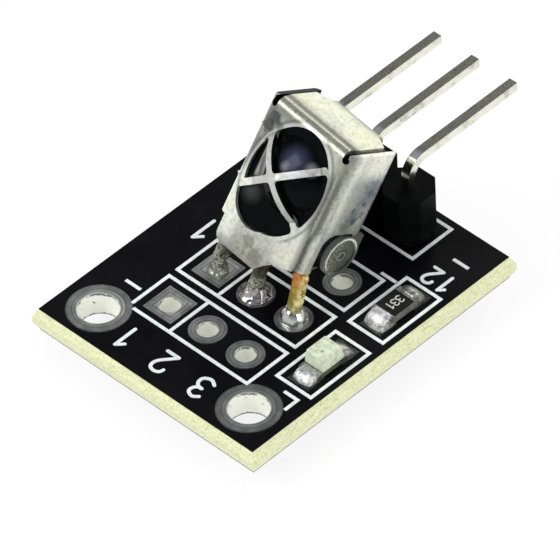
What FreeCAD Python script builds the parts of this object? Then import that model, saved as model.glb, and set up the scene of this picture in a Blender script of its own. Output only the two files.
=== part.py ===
import FreeCAD, Part
import Sketcher
import math
import os
import re

# Infrared receiver module: a small black board with a shielded receiver leaning back on three leads,
# a three-pin header with its pins turned over the rear edge, a signal lamp and its resistor.
#
# Frame: +Z up on the component side, +X along the front edge, +Y towards the header.
# The origin is midway between the two mounting holes, on the board's underside. Millimetres.

SIZES = {
    # board
    "board_width": 14.95,
    "board_length": 18.36,
    "board_thickness": 1.4,
    "front_edge": 2.23,
    "score_inset": 0.25,
    "score_height": 0.45,
    "mask_thickness": 0.04,
    "mask_gap": 0.05,
    "land_thickness": 0.05,
    "plating_wall": 0.05,
    # mounting holes
    "mount_edge": 2.405,
    "mount_radius": 1.06,
    "mount_land_radius": 1.63,
    # rows of three holes at the standard pitch
    "pitch": 2.54,
    "rows_middle": -0.13,
    "spare_front_row": 2.49,
    "receiver_row": 5.82,
    "spare_rear_row": 9.2,
    "header_row": 14.0,
    "hole_radius": 0.54,
    "pad_radius": 0.96,
    "square_pad": 1.88,
    # white legend print
    "ink_thickness": 0.03,
    "ink_line": 0.23,
    "row_box_length": 7.96,
    "row_box_width": 2.76,
    "chip_box_length": 4.04,
    "chip_box_width": 2.24,
    "dash_length": 1.0,
    "left_dash_edge": 2.515,
    "left_dash_y": 2.25,
    "middle_dash_edge": 3.575,
    "middle_dash_y": 10.9,
    "right_dash_edge": 1.625,
    "right_dash_y": 13.93,
    "corner_mark_edge": 1.045,
    "corner_mark_y": 1.93,
    # receiver: pose of the shield's lower front edge, over the receiver row
    "receiver_setback": 0.34,
    "receiver_lift": 3.27,
    "receiver_turn_angle": -4.5,
    "receiver_roll_angle": 4.3,
    "receiver_lean_angle": -30.0,
    # receiver: folded shield
    "shield_width": 5.8,
    "shield_height": 6.8,
    "shield_depth": 3.5,
    "sheet": 0.25,
    "front_fold": 0.45,
    "rear_fold": 0.4,
    "wall_drop": 0.1,
    "rear_flange": 1.15,
    "relief_radius": 0.17,
    "flap_corner": 0.5,
    "lip_half_width": 1.6,
    "lip_length": 1.2,
    "wall_foot": 0.8,
    "wall_cut_height": 2.15,
    "wall_cut_radius": 0.75,
    "tab_left": -2.46,
    "tab_right": 0.35,
    "tab_drop": 1.38,
    "knee_x": 0.8,
    "knee_drop": 0.9,
    "arch_middle": 1.25,
    "arch_drop": 0.52,
    "lug_radius": 1.12,
    "lug_back": 2.62,
    "lug_height": 0.87,
    "lug_neck": 0.3,
    "lug_rim": 0.12,
    "dimple_radius": 0.3,
    # receiver: window with its corner lobe, and the domed cross bars over it
    "window_x": -0.06,
    "window_height": 3.41,
    "window_half_width": 2.28,
    "window_half_height": 3.06,
    "window_slant": 15.0,
    "lobe_x": -0.95,
    "lobe_height": 1.62,
    "lobe_radius": 1.45,
    "dome_x": -0.07,
    "dome_height": 3.72,
    "dome_reach": 2.26,
    "dome_bulge": 0.94,
    "cross_x": -0.3,
    "cross_height": 3.54,
    "first_bar_angle": 135.5,
    "second_bar_angle": 39.3,
    "bar_width": 0.36,
    "bar_round": 0.2,
    "bar_reach": 2.85,
    "lens_gap": 0.12,
    # receiver: moulding, leads, dies
    "moulding_drop": 0.15,
    "lead_width": 0.5,
    "lead_thickness": 0.4,
    "lead_depth": 0.85,
    "lead_clearance": 0.12,
    "lead_anchor": 1.5,
    "lead_upright": 0.75,
    "tail_length": 1.2,
    "paddle_width": 3.0,
    "paddle_height": 3.6,
    "die_size": 1.7,
    "chip_size": 1.0,
    "die_thickness": 0.25,
    "die_clearance": 0.15,
    # header
    "strip_width": 2.54,
    "strip_height": 2.54,
    "strip_raise": 0.5,
    "strip_chamfer": 0.72,
    "pin_size": 0.5,
    "pin_axis_height": 4.55,
    "pin_bend": 0.9,
    "pin_reach": 7.64,
    "pin_point": 0.17,
    # solder
    "under_solder_height": 0.75,
    "under_solder_top": 0.3,
    "solder_spread": 0.85,
    "small_joint_height": 0.35,
    "middle_joint_height": 0.55,
    "right_joint_height": 0.7,
    # resistor and lamp, both along Y
    "chips_edge": 1.805,
    "resistor_y": 9.49,
    "lamp_y": 4.49,
    "chip_length": 2.0,
    "chip_width": 1.25,
    "chip_cap": 0.35,
    "chip_cap_wall": 0.03,
    "resistor_height": 0.5,
    "coat_thickness": 0.05,
    "lamp_base_height": 0.3,
    "lens_length": 1.3,
    "lens_height": 0.45,
    "lens_round": 0.1,
    "light_die": 0.3,
    "light_die_height": 0.12,
    "chip_land_length": 1.2,
    "chip_land_width": 1.4,
    "chip_land_offset": 1.2,
    "chip_solder_length": 0.5,
    "chip_solder_width": 1.2,
    "chip_solder_rise": 0.8,
    "chip_solder_shoulder": 0.68,
}

NODES = {}
doc = FreeCAD.newDocument("infrared_receiver_module")
sheet = doc.addObject("Spreadsheet::Sheet", "Sizes")
for line, (alias, number) in enumerate(SIZES.items(), start=1):
    sheet.set(f"A{line}", alias)
    sheet.set(f"B{line}", str(number))
    sheet.setAlias(f"B{line}", alias)
doc.recompute()


# Formulas on the sheet

def formula(text):
    """The text with each size's name written as a cell of the sheet."""
    return re.sub(r"[a-z_]+", lambda word: f"Sizes.{word[0]}" if word[0] in SIZES else word[0], str(text))


def value(text):
    return float(sheet.evalExpression(formula(text)))


def bind(item, **formulas):
    for name, text in formulas.items():
        item.setExpression(name, formula(text))
    return item


def place(item, x="0", y="0", z="0"):
    for axis, text in zip("xyz", (x, y, z)):
        item.setExpression(f"Placement.Base.{axis}", formula(text))
    return item


def node(name, item):
    item.Label = name
    NODES[name] = item
    return item


# Heights of the board's layers, as formulas
LAMINATE_BOTTOM = "mask_thickness"
LAMINATE_TOP = "(board_thickness - mask_thickness)"
LAND_TOP = "(board_thickness - mask_thickness + land_thickness)"
CHIPS_X = "(board_width / 2 - chips_edge)"
BOARD_MIDDLE_Y = "(board_length / 2 - front_edge)"


# Part primitives

def slab(name, x, y, z, length, width, height):
    """A box centred on x, y, standing on z."""
    item = bind(doc.addObject("Part::Box", name), Length=length, Width=width, Height=height)
    return place(item, f"({x}) - ({length}) / 2", f"({y}) - ({width}) / 2", z)


def cylinder(name, x, y, z, radius, height):
    return place(bind(doc.addObject("Part::Cylinder", name), Radius=radius, Height=height), x, y, z)


def cone(name, x, y, z, lower, upper, height):
    item = bind(doc.addObject("Part::Cone", name), Radius1=lower, Radius2=upper, Height=height)
    return place(item, x, y, z)


def fuse(name, items):
    item = doc.addObject("Part::MultiFuse", name)
    item.Shapes = items
    item.Refine = True
    return item


def cut(name, base, tool):
    item = doc.addObject("Part::Cut", name)
    item.Base = base
    item.Tool = tool
    item.Refine = True
    return item


def group(name, items):
    item = doc.addObject("Part::Compound", name)
    item.Links = items
    return item


# Bodies and their sketches

def body(name):
    return doc.addObject("PartDesign::Body", name)


def sketch(owner, name, role="XY_Plane", offset="0"):
    item = owner.newObject("Sketcher::SketchObject", name)
    plane = next(f for f in owner.Origin.OriginFeatures if f.Role == role)
    item.AttachmentSupport = (plane, [""])
    item.MapMode = "FlatFace"
    item.setExpression("AttachmentOffset.Base.z", formula(offset))
    return item


def pin_down(item, geometry, point, x, y, tag):
    """Hold a sketch point at x, y from the sketch's origin."""
    for kind, text, letter in (("DistanceX", x, "x"), ("DistanceY", y, "y")):
        index = item.addConstraint(Sketcher.Constraint(kind, -1, 1, geometry, point, value(text)))
        item.renameConstraint(index, f"{tag}_{letter}")
        item.setExpression(f"Constraints.{tag}_{letter}", formula(text))


def outline(item, corners, tag="corner"):
    """A closed outline of straight lines; each corner is a pair of formulas."""
    first = item.GeometryCount
    count = len(corners)
    points = [FreeCAD.Vector(value(x), value(y), 0) for x, y in corners]
    for i in range(count):
        item.addGeometry(Part.LineSegment(points[i], points[(i + 1) % count]), False)
    for i in range(count):
        item.addConstraint(Sketcher.Constraint("Coincident", first + i, 2, first + (i + 1) % count, 1))
    for i, (x, y) in enumerate(corners):
        pin_down(item, first + i, 1, x, y, f"{tag}{i}")


def rectangle(item, x0, x1, y0, y1, tag="side"):
    outline(item, [(x0, y0), (x1, y0), (x1, y1), (x0, y1)], tag)


def circle(item, x, y, radius, tag="ring"):
    centre = FreeCAD.Vector(value(x), value(y), 0)
    index = item.addGeometry(Part.Circle(centre, FreeCAD.Vector(0, 0, 1), value(radius)), False)
    pin_down(item, index, 3, x, y, tag)
    size = item.addConstraint(Sketcher.Constraint("Radius", index, value(radius)))
    item.renameConstraint(size, f"{tag}_r")
    item.setExpression(f"Constraints.{tag}_r", formula(radius))


def pad(owner, name, profile, length, reverse=False, middle=False):
    item = owner.newObject("PartDesign::Pad", name)
    item.Profile = profile
    item.Reversed = reverse
    item.Midplane = middle
    return bind(item, Length=length)


def pocket(owner, name, profile, length, reverse=False, middle=False):
    item = owner.newObject("PartDesign::Pocket", name)
    item.Profile = profile
    item.Reversed = reverse
    item.Midplane = middle
    return bind(item, Length=length)


def dress(owner, kind, name, base, radius, wanted):
    """Fillet or chamfer the edges of base whose middle and direction pass the test."""
    doc.recompute()
    found = []
    for i, edge in enumerate(base.Shape.Edges, start=1):
        middle = edge.valueAt((edge.FirstParameter + edge.LastParameter) / 2)
        along = edge.tangentAt(edge.FirstParameter)
        if wanted(middle, along, edge):
            found.append(f"Edge{i}")
    item = owner.newObject(f"PartDesign::{kind}", name)
    item.Base = (base, found)
    return bind(item, **{"Radius" if kind == "Fillet" else "Size": radius})


def near(a, b):
    return abs(a - b) < 0.01


# The three places of a row, and the centres of all holes

def row_x(i):
    return f"(rows_middle + {i - 1} * pitch)"


def mount_x(side):
    return f"({side} * (board_width / 2 - mount_edge))"


ROWS = {
    "spare_front": "spare_front_row",
    "receiver": "receiver_row",
    "spare_rear": "spare_rear_row",
    "header": "header_row",
}
DRILLED = "(hole_radius + plating_wall)"
MOUNT_DRILLED = "(mount_radius + plating_wall)"


def all_holes():
    """Centre and drilled radius of each hole through the board."""
    holes = [(mount_x(side), "0", MOUNT_DRILLED) for side in (-1, 1)]
    for y in ROWS.values():
        holes += [(row_x(i), y, DRILLED) for i in range(3)]
    return holes


def board_laminate():
    """Glass laminate; the scored edges leave a web halfway up each side."""
    owner = body("laminate_body")
    half_width = "board_width / 2"
    front = "-front_edge"
    back = "board_length - front_edge"
    inner = ("-(%s - score_inset)" % half_width, "%s - score_inset" % half_width,
             "%s + score_inset" % front, "%s - score_inset" % back)
    outer = ("-(%s)" % half_width, half_width, front, back)
    levels = {
        "lower_face": (inner, LAMINATE_BOTTOM),
        "web_bottom": (outer, f"{LAMINATE_BOTTOM} + score_height"),
        "web_top": (outer, f"{LAMINATE_TOP} - score_height"),
        "upper_face": (inner, LAMINATE_TOP),
    }
    faces = {}
    for name, (sides, height) in levels.items():
        faces[name] = sketch(owner, name, offset=height)
        rectangle(faces[name], *sides)
    for name, first, second in (("lower_bevel", "lower_face", "web_bottom"),
                                ("web", "web_bottom", "web_top"),
                                ("upper_bevel", "web_top", "upper_face")):
        loft = owner.newObject("PartDesign::AdditiveLoft", name)
        loft.Profile = faces[first]
        loft.Sections = [faces[second]]
        loft.Ruled = True
    drills = sketch(owner, "drills")
    for i, (x, y, radius) in enumerate(all_holes()):
        circle(drills, x, y, radius, f"hole{i}")
    pocket(owner, "drilling", drills, "4 * board_thickness", middle=True)
    return node("board_laminate", owner)


def land(name, square, x, y, z, size, height, grow="0"):
    """One copper land, round or square, grown by a margin when it opens the mask."""
    if square:
        side = f"(square_pad + 2 * ({grow}))"
        return slab(name, x, y, z, side, side, height)
    return cylinder(name, x, y, z, f"({size}) + ({grow})", height)


def plated_hole(name, square, x, y, radius, size):
    """A barrel with a land at each end, open through the middle."""
    barrel = cylinder(f"{name}_barrel", x, y, LAMINATE_BOTTOM, f"{radius} + plating_wall",
                      f"{LAMINATE_TOP} - {LAMINATE_BOTTOM}")
    upper = land(f"{name}_upper", square, x, y, LAMINATE_TOP, size, "land_thickness")
    lower = land(f"{name}_lower", square, x, y, f"{LAMINATE_BOTTOM} - land_thickness", size, "land_thickness")
    bore = cylinder(f"{name}_bore", x, y, "-board_thickness", radius, "3 * board_thickness")
    return cut(name, fuse(f"{name}_metal", [barrel, upper, lower]), bore)


def plating():
    """The mounting rings, and each row of plated holes as three separate pieces."""
    for side, word in ((-1, "left"), (1, "right")):
        ring = plated_hole(f"mount_{word}", False, mount_x(side), "0", "mount_radius", "mount_land_radius")
        node(f"mount_plating_{word}", ring)
    for row, y in ROWS.items():
        holes = [plated_hole(f"{row}_hole{i}", i == 0, row_x(i), y, "hole_radius", "pad_radius")
                 for i in range(3)]
        node(f"{row}_plating", group(f"{row}_holes", holes))


CHIPS = {"resistor": "resistor_y", "lamp": "lamp_y"}


def chip_lands():
    for chip, y in CHIPS.items():
        pair = [slab(f"{chip}_land{end}", CHIPS_X, f"{y} + {end} * chip_land_offset", LAMINATE_TOP,
                     "chip_land_width", "chip_land_length", "land_thickness") for end in (-1, 1)]
        node(f"{chip}_lands", group(f"{chip}_land_pair", pair))


def solder_mask(name, z, chips):
    """Thin black layer with an opening round each land; the lower one has no chip lands."""
    layer = slab(f"{name}_layer", "0", BOARD_MIDDLE_Y, z, "board_width - 2 * score_inset",
                 "board_length - 2 * score_inset", "mask_thickness")
    tools = []
    start = f"{z} - mask_thickness"
    height = "3 * mask_thickness"
    for side in (-1, 1):
        tools.append(land(f"{name}_mount{side}", False, mount_x(side), "0", start, "mount_land_radius",
                          height, "mask_gap"))
    for row, y in ROWS.items():
        for i in range(3):
            tools.append(land(f"{name}_{row}{i}", i == 0, row_x(i), y, start, "pad_radius", height,
                              "mask_gap"))
    if chips:
        for chip, y in CHIPS.items():
            for end in (-1, 1):
                tools.append(slab(f"{name}_{chip}{end}", CHIPS_X, f"{y} + {end} * chip_land_offset",
                                  start, "chip_land_width + 2 * mask_gap", "chip_land_length + 2 * mask_gap",
                                  height))
    return node(name, cut(f"{name}_open", layer, fuse(f"{name}_openings", tools)))


def legend_print():
    """White printed boxes round the rows and chips, with dividers, and a few dashes."""
    solid = []
    hollow = []
    ink = {"z": "board_thickness", "height": "ink_thickness"}

    def frame(name, x, y, length, width):
        solid.append(slab(f"{name}_box", x, y, ink["z"], f"{length} + ink_line", f"{width} + ink_line",
                          ink["height"]))
        hollow.append((name, x, y, f"{length} - ink_line", f"{width} - ink_line"))

    for row, y in ROWS.items():
        frame(f"ink_{row}", "rows_middle", y, "row_box_length", "row_box_width")
    for chip, y in CHIPS.items():
        frame(f"ink_{chip}", CHIPS_X, y, "chip_box_width", "chip_box_length")
    rooms = [slab(f"{name}_room", x, y, "board_thickness - ink_thickness", length, width, "3 * ink_thickness")
             for name, x, y, length, width in hollow]
    boxes = cut("ink_boxes", fuse("ink_outer", solid), fuse("ink_rooms", rooms))
    lines = [slab(f"ink_divider_{row}", "rows_middle - pitch / 2", y, ink["z"], "ink_line", "row_box_width",
                  ink["height"]) for row, y in ROWS.items()]
    dashes = (("left", "left_dash_edge - board_width / 2", "left_dash_y"),
              ("middle", "board_width / 2 - middle_dash_edge", "middle_dash_y"),
              ("right", "board_width / 2 - right_dash_edge", "right_dash_y"))
    for name, x, y in dashes:
        lines.append(slab(f"ink_{name}", x, y, ink["z"], "dash_length", "ink_line", ink["height"]))
    corner = "board_width / 2 - corner_mark_edge"
    lines.append(slab("ink_corner_top", f"{corner} - dash_length / 2 + ink_line / 2", "corner_mark_y",
                      ink["z"], "dash_length", "ink_line", ink["height"]))
    lines.append(slab("ink_corner_side", corner, "corner_mark_y - dash_length / 2 + ink_line / 2",
                      ink["z"], "ink_line", "dash_length", ink["height"]))
    printed = fuse("ink_all", [boxes] + lines)
    clear = [cylinder(f"ink_clear{side}", mount_x(side), "0", "0", "mount_land_radius + 2 * mask_gap",
                      "2 * board_thickness") for side in (-1, 1)]
    return node("legend_print", cut("ink_clipped", printed, fuse("ink_clear", clear)))


# The receiver's own frame: X right, Y to the back, Z up the shield, from its lower front edge
RECEIVER_FRAME = formula(
    "create(<<placement>>; create(<<vector>>; rows_middle; receiver_row + receiver_setback;"
    " board_thickness + receiver_lift);"
    " create(<<rotation>>; receiver_turn_angle; receiver_roll_angle; receiver_lean_angle))")


def receiver_body_object(name):
    owner = body(name)
    owner.setExpression("Placement", RECEIVER_FRAME)
    return owner


def receiver_placement():
    """The receiver's frame as numbers from the sheet."""
    corner = FreeCAD.Vector(value("rows_middle"), value("receiver_row + receiver_setback"),
                            value("board_thickness + receiver_lift"))
    turn = FreeCAD.Rotation(*(value(f"receiver_{name}_angle") for name in ("turn", "roll", "lean")))
    return FreeCAD.Placement(corner, turn)


HALF_SHIELD = "shield_width / 2"
FLAP_HALF = "(shield_width / 2 - front_fold)"
WALL_INSIDE = "(shield_width / 2 - sheet)"


def vertical(along):
    return abs(along.z) > 0.99


def shield_wrap():
    """Front plate, side walls folded back and short flanges folded in behind, from one sheet."""
    owner = receiver_body_object("shield_wrap")
    section = sketch(owner, "wrap_section")
    inside = f"{HALF_SHIELD} - sheet"
    flange_end = f"{HALF_SHIELD} - rear_flange"
    outline(section, [
        (f"-({HALF_SHIELD})", "0"), (HALF_SHIELD, "0"), (HALF_SHIELD, "shield_depth"),
        (flange_end, "shield_depth"), (flange_end, "shield_depth - sheet"),
        (inside, "shield_depth - sheet"), (inside, "sheet"),
        (f"-({inside})", "sheet"), (f"-({inside})", "shield_depth - sheet"),
        (f"-({flange_end})", "shield_depth - sheet"), (f"-({flange_end})", "shield_depth"),
        (f"-({HALF_SHIELD})", "shield_depth"),
    ])
    wrap = pad(owner, "wrap", section, "shield_height - wall_drop")
    half = value(HALF_SHIELD)
    depth = value("shield_depth")
    wall = value("sheet")
    folds = dress(owner, "Fillet", "front_folds", wrap, "front_fold",
                  lambda m, a, e: vertical(a) and near(abs(m.x), half) and near(m.y, 0))
    bends = dress(owner, "Fillet", "rear_folds", folds, "rear_fold",
                  lambda m, a, e: vertical(a) and near(abs(m.x), half) and near(m.y, depth))
    inner = dress(owner, "Fillet", "inner_front_folds", bends, "front_fold - sheet",
                  lambda m, a, e: vertical(a) and near(abs(m.x), half - wall) and near(m.y, wall))
    dress(owner, "Fillet", "inner_rear_folds", inner, "rear_fold - sheet",
                 lambda m, a, e: vertical(a) and near(abs(m.x), half - wall) and near(m.y, depth - wall))
    shield_flap(owner)
    shield_wall_cut(owner)
    shield_tab(owner)
    shield_lug(owner)
    return owner


def shield_flap(owner):
    """Top flap: up from the front plate, back over the moulding and down behind in a lip."""
    fold_start = "(shield_height - front_fold)"
    gap = sketch(owner, "flap_gap", "XZ_Plane")
    rectangle(gap, f"-{WALL_INSIDE}", WALL_INSIDE, fold_start, "shield_height")
    pocket(owner, "flap_opening", gap, "2 * front_fold", middle=True)
    corners = sketch(owner, "relief_holes", "XZ_Plane")
    for side, tag in ((-1, "left"), (1, "right")):
        circle(corners, f"{side} * ({FLAP_HALF} + {WALL_INSIDE}) / 2", fold_start, "relief_radius", tag)
    pocket(owner, "reliefs", corners, "2 * front_fold", middle=True)
    rear = sketch(owner, "flange_tops", offset="shield_height")
    rectangle(rear, f"-{WALL_INSIDE}", WALL_INSIDE, "shield_depth / 2", "2 * shield_depth")
    pocket(owner, "flange_trim", rear, "2 * sheet")
    front = sketch(owner, "flap_front", "XZ_Plane")
    narrow = f"({FLAP_HALF} - relief_radius / 2)"
    rectangle(front, f"-{narrow}", narrow, f"{fold_start} - sheet", "shield_height")
    pad(owner, "flap_rise", front, "sheet", reverse=True)
    top = sketch(owner, "flap_top", offset="shield_height - sheet")
    back = "(shield_depth + sheet)"
    neck = "(shield_depth + sheet - 1.2 * rear_fold)"
    outline(top, [
        (f"-{narrow}", "0"), (narrow, "0"), (narrow, "front_fold"), (FLAP_HALF, "2 * front_fold"),
        (FLAP_HALF, f"{neck} - flap_corner"), ("lip_half_width", neck), ("lip_half_width", back),
        ("-lip_half_width", back), ("-lip_half_width", neck), (f"-{FLAP_HALF}", f"{neck} - flap_corner"),
        (f"-{FLAP_HALF}", "2 * front_fold"), (f"-{narrow}", "front_fold"),
    ])
    pad(owner, "flap", top, "sheet")
    hanging = sketch(owner, "lip_outline", "XZ_Plane", offset=f"-{back}")
    rectangle(hanging, "-lip_half_width", "lip_half_width", "shield_height - lip_length", "shield_height")
    lip = pad(owner, "lip", hanging, "sheet")
    crown = value("shield_height")
    rear = value(back)
    wall = value("sheet")

    def across(y, z):
        return lambda m, a, e: abs(a.x) > 0.99 and near(m.z, z) and near(m.y, y)

    fold = dress(owner, "Fillet", "flap_front_fold", lip, "front_fold", across(0, crown))
    inner = dress(owner, "Fillet", "flap_inner_fold", fold, "front_fold - sheet", across(wall, crown - wall))
    behind = dress(owner, "Fillet", "lip_fold", inner, "rear_fold", across(rear, crown))
    dress(owner, "Fillet", "lip_inner_fold", behind, "rear_fold - sheet", across(rear - wall, crown - wall))


def shield_wall_cut(owner):
    """Both side walls and the flanges end above the leads, with a narrow foot left at the front."""
    window = sketch(owner, "wall_cut", "YZ_Plane")
    beyond = "2 * shield_depth"
    rectangle(window, "wall_foot", beyond, "-tab_drop", "wall_cut_height")
    opened = pocket(owner, "wall_opening", window, "2 * shield_width", middle=True)
    foot = value("wall_foot")
    top = value("wall_cut_height")
    dress(owner, "Fillet", "wall_opening_round", opened, "wall_cut_radius",
          lambda m, a, e: abs(a.x) > 0.99 and near(m.y, foot) and near(m.z, top))


def shield_tab(owner):
    """Lower edge of the front plate: a deep tab on the left, arching up towards the right corner."""
    low = sketch(owner, "tab_outline", "XZ_Plane")
    outline(low, [
        ("tab_left", "sheet"), ("tab_left", "-tab_drop"), ("tab_right", "-tab_drop"),
        ("knee_x", "-knee_drop"),
        ("arch_middle", "-arch_drop"), ("shield_width / 2 - front_fold", "-sheet / 2"),
        ("shield_width / 2 - front_fold", "sheet"),
    ])
    tab = pad(owner, "tab", low, "sheet", reverse=True)
    left = value("tab_left")
    bottom = value("-tab_drop")
    dress(owner, "Fillet", "tab_corner", tab, "front_fold",
          lambda m, a, e: abs(a.y) > 0.99 and near(m.x, left) and near(m.z, bottom))


def shield_lug(owner):
    """Round lug with one square corner at the foot of the right wall, on a narrow neck."""
    face = f"{HALF_SHIELD} - sheet"
    neck = sketch(owner, "lug_neck_outline", "YZ_Plane", offset=face)
    rear = "(shield_depth - rear_fold)"
    rectangle(neck, f"{rear} - lug_neck", rear, "lug_height", "wall_cut_height + sheet")
    pad(owner, "lug_neck_pad", neck, "sheet")
    disc = sketch(owner, "lug_outline", "YZ_Plane", offset=face)
    circle(disc, "lug_back", "lug_height", "lug_radius")
    pad(owner, "lug", disc, "sheet")
    corner = sketch(owner, "lug_corner_outline", "YZ_Plane", offset=face)
    rectangle(corner, "lug_back", "lug_back + lug_radius", "lug_height", "lug_height + lug_radius")
    pad(owner, "lug_corner", corner, "sheet")
    rim = sketch(owner, "lug_rim_outline", "YZ_Plane", offset=HALF_SHIELD)
    circle(rim, "lug_back", "lug_height", "lug_radius", "outer")
    circle(rim, "lug_back", "lug_height", "lug_radius - 1.5 * lug_rim", "inner")
    pad(owner, "lug_rim_pad", rim, "lug_rim / 2")
    ring = sketch(owner, "dimple_outline", "YZ_Plane", offset=HALF_SHIELD)
    circle(ring, "lug_back", "lug_height", "dimple_radius", "outer")
    circle(ring, "lug_back", "lug_height", "dimple_radius / 2", "inner")
    pad(owner, "dimple", ring, "lug_rim / 2")


DOME_RADIUS = "((dome_reach^2 + dome_bulge^2) / (2 * dome_bulge))"
DOME_CENTRE = "((dome_reach^2 - dome_bulge^2) / (2 * dome_bulge))"


def turned_section(owner, name, radii, corners):
    """Revolve a section about the dome's own axis: lines between corners, and arcs about the dome's centre.

    The section is drawn in depth and radius. radii[i] is the radius of the arc from corner i to the
    next one, or None for a straight line.
    """
    section = sketch(owner, f"{name}_section", "YZ_Plane", offset="dome_x")
    section.setExpression("AttachmentOffset.Base.y", formula("dome_height"))
    points = [FreeCAD.Vector(value(x), value(y), 0) for x, y in corners]
    hub = FreeCAD.Vector(value(DOME_CENTRE), 0, 0)
    count = len(points)
    ends = []
    for i, radius in enumerate(radii):
        a = points[i]
        b = points[(i + 1) % count]
        if radius is None:
            ends.append((section.addGeometry(Part.LineSegment(a, b), False), 1, 2))
            continue
        ring = Part.Circle(hub, FreeCAD.Vector(0, 0, 1), value(radius))
        angle_a = math.atan2(a.y - hub.y, a.x - hub.x)
        angle_b = math.atan2(b.y - hub.y, b.x - hub.x)
        backwards = angle_a > angle_b
        arc = Part.ArcOfCircle(ring, min(angle_a, angle_b), max(angle_a, angle_b))
        index = section.addGeometry(arc, False)
        size = section.addConstraint(Sketcher.Constraint("Radius", index, value(radius)))
        section.renameConstraint(size, f"arc{i}")
        section.setExpression(f"Constraints.arc{i}", formula(radius))
        ends.append((index, 2, 1) if backwards else (index, 1, 2))
    for i in range(count):
        here = ends[i]
        after = ends[(i + 1) % count]
        section.addConstraint(Sketcher.Constraint("Coincident", here[0], here[2], after[0], after[1]))
    for i, (x, y) in enumerate(corners):
        pin_down(section, ends[i][0], ends[i][1], x, y, f"corner{i}")
    turned = owner.newObject("PartDesign::Revolution", name)
    turned.Profile = section
    turned.ReferenceAxis = (section, ["H_Axis"])
    turned.Angle = 360
    return owner


def dome_shell():
    """A round cap of sheet pressed forward, with a flat brim level with the front plate."""
    inner = f"({DOME_RADIUS} - sheet)"
    inner_rim = f"sqrt({inner}^2 - ({DOME_CENTRE} - sheet)^2)"
    corners = [("-dome_bulge", "0"), ("0", "dome_reach"), ("0", "bar_reach + sheet"),
               ("sheet", "bar_reach + sheet"), ("sheet", inner_rim), ("sheet - dome_bulge", "0")]
    radii = [DOME_RADIUS, None, None, None, inner, None]
    return turned_section(receiver_body_object("dome_shell"), "dome", radii, corners)


def window_block(name, depth):
    """The pierced outline of the window: an oval leaning to the right, and a round lobe low on the left."""
    owner = receiver_body_object(name)
    face = sketch(owner, f"{name}_oval", "XZ_Plane")
    tip = ("window_x + window_half_height * sin(window_slant * 1deg)",
           "window_height + window_half_height * cos(window_slant * 1deg)")
    slant = math.radians(SIZES["window_slant"])
    centre = FreeCAD.Vector(value("window_x"), value("window_height"), 0)
    upright = FreeCAD.Vector(math.sin(slant), math.cos(slant), 0)
    across = FreeCAD.Vector(-math.cos(slant), math.sin(slant), 0)
    oval = face.addGeometry(Part.Ellipse(centre + upright * value("window_half_height"),
                                         centre + across * value("window_half_width"), centre), False)
    face.exposeInternalGeometry(oval)
    pin_down(face, oval, 3, "window_x", "window_height", "middle")
    pin_down(face, 1, 1, *tip, "tip")
    width = face.addConstraint(Sketcher.Constraint("Distance", 2, value("2 * window_half_width")))
    face.renameConstraint(width, "width")
    face.setExpression("Constraints.width", formula("2 * window_half_width"))
    pad(owner, f"{name}_oval_pad", face, depth, middle=True)
    lobe = sketch(owner, f"{name}_lobe", "XZ_Plane")
    circle(lobe, "lobe_x", "lobe_height", "lobe_radius")
    pad(owner, f"{name}_lobe_pad", lobe, depth, middle=True)
    return owner


def bar_outlines(owner, width):
    """The two crossed bars seen from the front, each as a sketch of the given width."""
    faces = []
    for tag in ("first", "second"):
        face = sketch(owner, f"{owner.Name}_{tag}_bar", "XZ_Plane")
        cosine = f"cos({tag}_bar_angle * 1deg)"
        sine = f"sin({tag}_bar_angle * 1deg)"
        corners = []
        for reach, side in ((-1, -1), (1, -1), (1, 1), (-1, 1)):
            x = f"cross_x + {reach} * bar_reach * {cosine} - {side} * {width} / 2 * {sine}"
            y = f"cross_height + {reach} * bar_reach * {sine} + {side} * {width} / 2 * {cosine}"
            corners.append((x, y))
        outline(face, corners)
        faces.append(face)
    return faces


def cross_prism():
    """A block that keeps the dome along both bars, with room beside them for the rounded corners."""
    owner = receiver_body_object("cross_prism")
    for face in bar_outlines(owner, "(bar_width + 4 * bar_round)"):
        block = pad(owner, f"{face.Name}_pad", face, "2 * dome_bulge")
        block.SideType = "Two sides"
        bind(block, Length2="2 * sheet")
    return owner


def window_openings():
    """The four openings that the bars leave in the window, with corners rounded outside the lobe."""
    owner = window_block("window_openings", "4 * dome_bulge")
    owner.AllowCompound = True
    for face in bar_outlines(owner, "bar_width"):
        last = pocket(owner, f"{face.Name}_gap", face, "4 * dome_bulge", middle=True)
    middle = (value("cross_x"), value("cross_height"))
    angles = [math.radians(value(f"{tag}_bar_angle")) for tag in ("first", "second")]
    half = value("bar_width / 2")

    def beside_a_bar(m, a, e):
        offsets = [(m.x - middle[0]) * math.sin(t) - (m.z - middle[1]) * math.cos(t) for t in angles]
        from_lobe = math.hypot(m.x - value("lobe_x"), m.z - value("lobe_height"))
        clear = from_lobe > value("lobe_radius + bar_round")
        return abs(a.y) > 0.99 and clear and any(near(abs(offset), half) for offset in offsets)

    dress(owner, "Fillet", "opening_corners", last, "bar_round", beside_a_bar)
    return owner


def receiver_shield():
    """The folded sheet, its window pierced, and two crossed bars that bulge over it."""
    pierced = cut("shield_pierced", shield_wrap(), window_block("window_cut", "4 * sheet"))
    bars = doc.addObject("Part::Common", "cross_bars")
    bars.Base = dome_shell()
    bars.Tool = cross_prism()
    domed = fuse("shield_domed", [pierced, bars])
    return node("receiver_shield", cut("shield", domed, window_openings()))


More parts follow.
